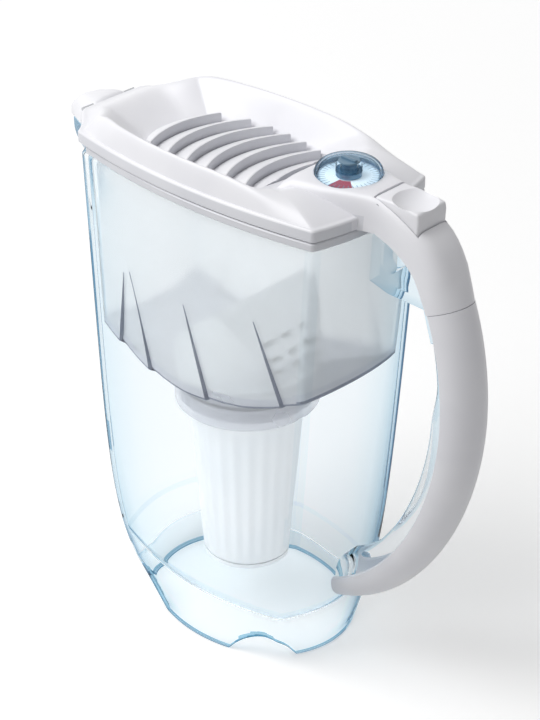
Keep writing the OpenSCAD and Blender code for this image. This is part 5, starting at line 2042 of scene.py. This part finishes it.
# Upright faces of the lid's skirt: painted shade, a deeper tone for the lesser light that upright faces
# take.
SKIRT_PAINTED_SHADE = Moulding("white polypropylene, upright skirt, painted shade", "#DEDFE4", "#D8D9DF")
# Upright faces between the louvres: painted shade, a deeper tone for the shade of each neighbouring
# louvre.
RISER_PAINTED_SHADE = Moulding("white polypropylene, louvre riser, painted shade", "#CFD0D6", "#C9CAD1", roughness=0.4)
# Solid, thick natural polypropylene: waxy and a little greyer than the dyed white, and deeper still as
# painted shade of the recess under the lid's skirt.
FLANGE_WAXY_AND_SHADED = Moulding("natural polypropylene, thick flange, partly painted shade", "#DADBE0", "#D4D5DB", roughness=0.36)
# Thick-walled moulding: a clean, bright white.
CARTRIDGE = Moulding("white polypropylene cartridge shell", "#FAFBFC", "#F5F7F9", roughness=0.35)
# Silicone: dark and dull, with hardly any gleam.
SEAL = Moulding("grey silicone, compression moulded", "#5A5C60", "#55575B", roughness=0.55)
# Carbon and resin grains of about a millimetre: dark, matt and rough.
MEDIA = Moulding("filter granules", "#4A4846", "#2E2C2B", roughness=0.8, grain_mm=1.2, grain_depth_mm=0.5)
# Woven threads of about half a millimetre: pale and matt.
MESH = Moulding("woven polymer screen", "#D2D5D9", "#C2C6CB", roughness=0.6, grain_mm=0.6,
                grain_depth_mm=0.1)
# Blue-dyed grip: a muted blue with a clear gleam.
KNOB = Moulding("translucent blue grip plastic", "#5A7A92", "#66869D", roughness=0.3)
# Moulded clear plastic: nearly colourless face on, and a thin navy line where a wall turns away.
CLEAR = ClearPlastic("clear SAN, blue tinted", (
    (0.0, "#FBFDFE"), (0.42, "#F8FBFD"), (0.6, "#E8F3F8"), (0.71, "#B4D1E1"), (0.79, "#4C7EA2"),
    (0.88, "#1F4466")))
# Small upright corners: the blue line starts earlier, because the wall bends there.
CORNER = ClearPlastic("clear SAN, upright corner", (
    (0.0, "#F8FBFD"), (0.5, "#E3EFF5"), (0.6, "#6C9CBC"), (0.72, "#1F4466"), (0.85, "#173A5C")))
# Cut end of a wall: blue from all sides, because one looks along the wall there.
EDGE = ClearPlastic("clear SAN, edge that gathers the tint", (
    (0.0, "#8FBFD6"), (0.5, "#4F8FB0"), (1.0, "#1D4468")))
# Solid bar: a light blue body colour with soft edges.
RAIL = ClearPlastic("clear SAN, solid rail", (
    (0.0, "#F0F7FB"), (0.4, "#E2EFF6"), (0.65, "#B4D0E0"), (0.82, "#86AEC7"), (1.0, "#648FAD")))
# Raised floor: pale, with no dark line.
FLOOR = ClearPlastic("clear SAN, raised floor", ((0.0, "#FAFDFE"), (0.6, "#F2F8FB"), (1.0, "#D5E6EF")))
# Small dome: clear on top, with a dark blue rim.
DOME = ClearPlastic("clear SAN dome", (
    (0.0, "#F4FAFD"), (0.45, "#DFECF4"), (0.68, "#7F9BB0"), (0.82, "#2B3B4A")))
# Undyed polypropylene: milky, so what is behind it shows as soft shapes.
FROST = FrostedPlastic("natural polypropylene", "#FFFFFF", 0.55, 0.22)
# The thicker lower edge of the tank: a little greyer and denser.
FROST_LOW = FrostedPlastic("natural polypropylene, thick lower edge", "#ECECF0", 0.5, 0.24)
# The step of a pleat: a thin grey mark of painted shade in the crease. The lowest line takes the same
# grey.
FOLD_SHADE_AND_LOW_LINE = FrostedPlastic("natural polypropylene, painted crease shade and lower line", "#9597A2", 0.3, 0.24)
# Drawn wire: a bright grey metal.
STEEL = DrawnSteel()


def fit(piece: bpy.types.Object, body: str, nodes: Sequence[str],
        material: bpy.types.Material) -> None:
    """Dresses a piece, sets it on its body and lets it stand for CAD nodes.

    Args:
        piece: the piece.
        body: the body that it rides on.
        nodes: the CAD nodes that it stands for.
        material: its first material.
    """
    piece.data.materials.clear()
    piece.data.materials.append(material)
    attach(piece, body)
    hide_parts(*nodes)
    LOG.info("%s: %d faces", piece.name, len(piece.data.polygons))


def dress_nodes(materials: dict[str, bpy.types.Material]) -> None:
    """Gives each carried-over CAD node its material.

    Args:
        materials: material by the node's name.
    """
    for name, material in materials.items():
        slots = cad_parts[name].data.materials
        slots.clear()
        slots.append(material)
        LOG.info("%s: %s", name, material.name)


def main() -> None:
    """Builds the classes in order."""
    logging.basicConfig(level=logging.INFO, format="%(message)s")
    clear, white, frost = CLEAR.material(), WHITE.material(), FROST.material()
    cover, steel, shell, mesh = COVER.material(), STEEL.material(), CARTRIDGE.material(), MESH.material()
    jug = JugBody()
    body = jug.build()
    combine(body, [HandleRail().build(jug)], Join.ADD, 42.0)
    fit(body, "jug", ["jug"], clear)
    jug.tint(body, EDGE.material(), RAIL.material(), FLOOR.material(), CORNER.material())
    fit(HandleCover().build(jug), "jug", ["handle_cover"], cover)
    hopper = Hopper()
    tank = hopper.build()
    fit(tank, "hopper", ["hopper"], frost)
    hopper.tint(tank, FROST_LOW.material(), FOLD_SHADE_AND_LOW_LINE.material(), FLANGE_WAXY_AND_SHADED.material())
    lid = LidShell()
    lid_piece = lid.build()
    fit(lid_piece, "lid", ["lid_shell"], white)
    lid.tint(lid_piece, SKIRT_PAINTED_SHADE.material())
    flap = FillFlap()
    louvres = flap.build()
    fit(louvres, "flap", ["fill_flap"], TREAD.material())
    flap.tint(louvres, RISER_PAINTED_SHADE.material())
    fit(ThumbButton().build(), "button", ["thumb_button"], white)
    fit(SpoutCap().build(), "spout_cap", ["spout_cap"], white)
    dial = CounterDial()
    fit(dial.dome(), "counter", ["counter_dome"], DOME.material())
    fit(dial.knob(), "counter", ["counter_knob"], KNOB.material())
    fit(dial.disc(), "lid", ["counter_disc"], dial.card())
    cartridge = Cartridge()
    fit(cartridge.body(), "cartridge", ["cartridge_body"], shell)
    fit(cartridge.cap(), "cartridge", ["cartridge_cap"], shell)
    dress_nodes({"flap_pin": steel, "flap_spring": steel, "button_pin": steel, "spout_cap_pin": steel,
                 "counter_axle": steel, "push_rod": white, "cartridge_flange_seal": SEAL.material(),
                 "cartridge_media": MEDIA.material(), "cartridge_top_screen": mesh,
                 "cartridge_bottom_screen": mesh, "cartridge_outlet": shell})
    Studio().build()
    Camera().build()


if __name__ == "__main__":
    main()
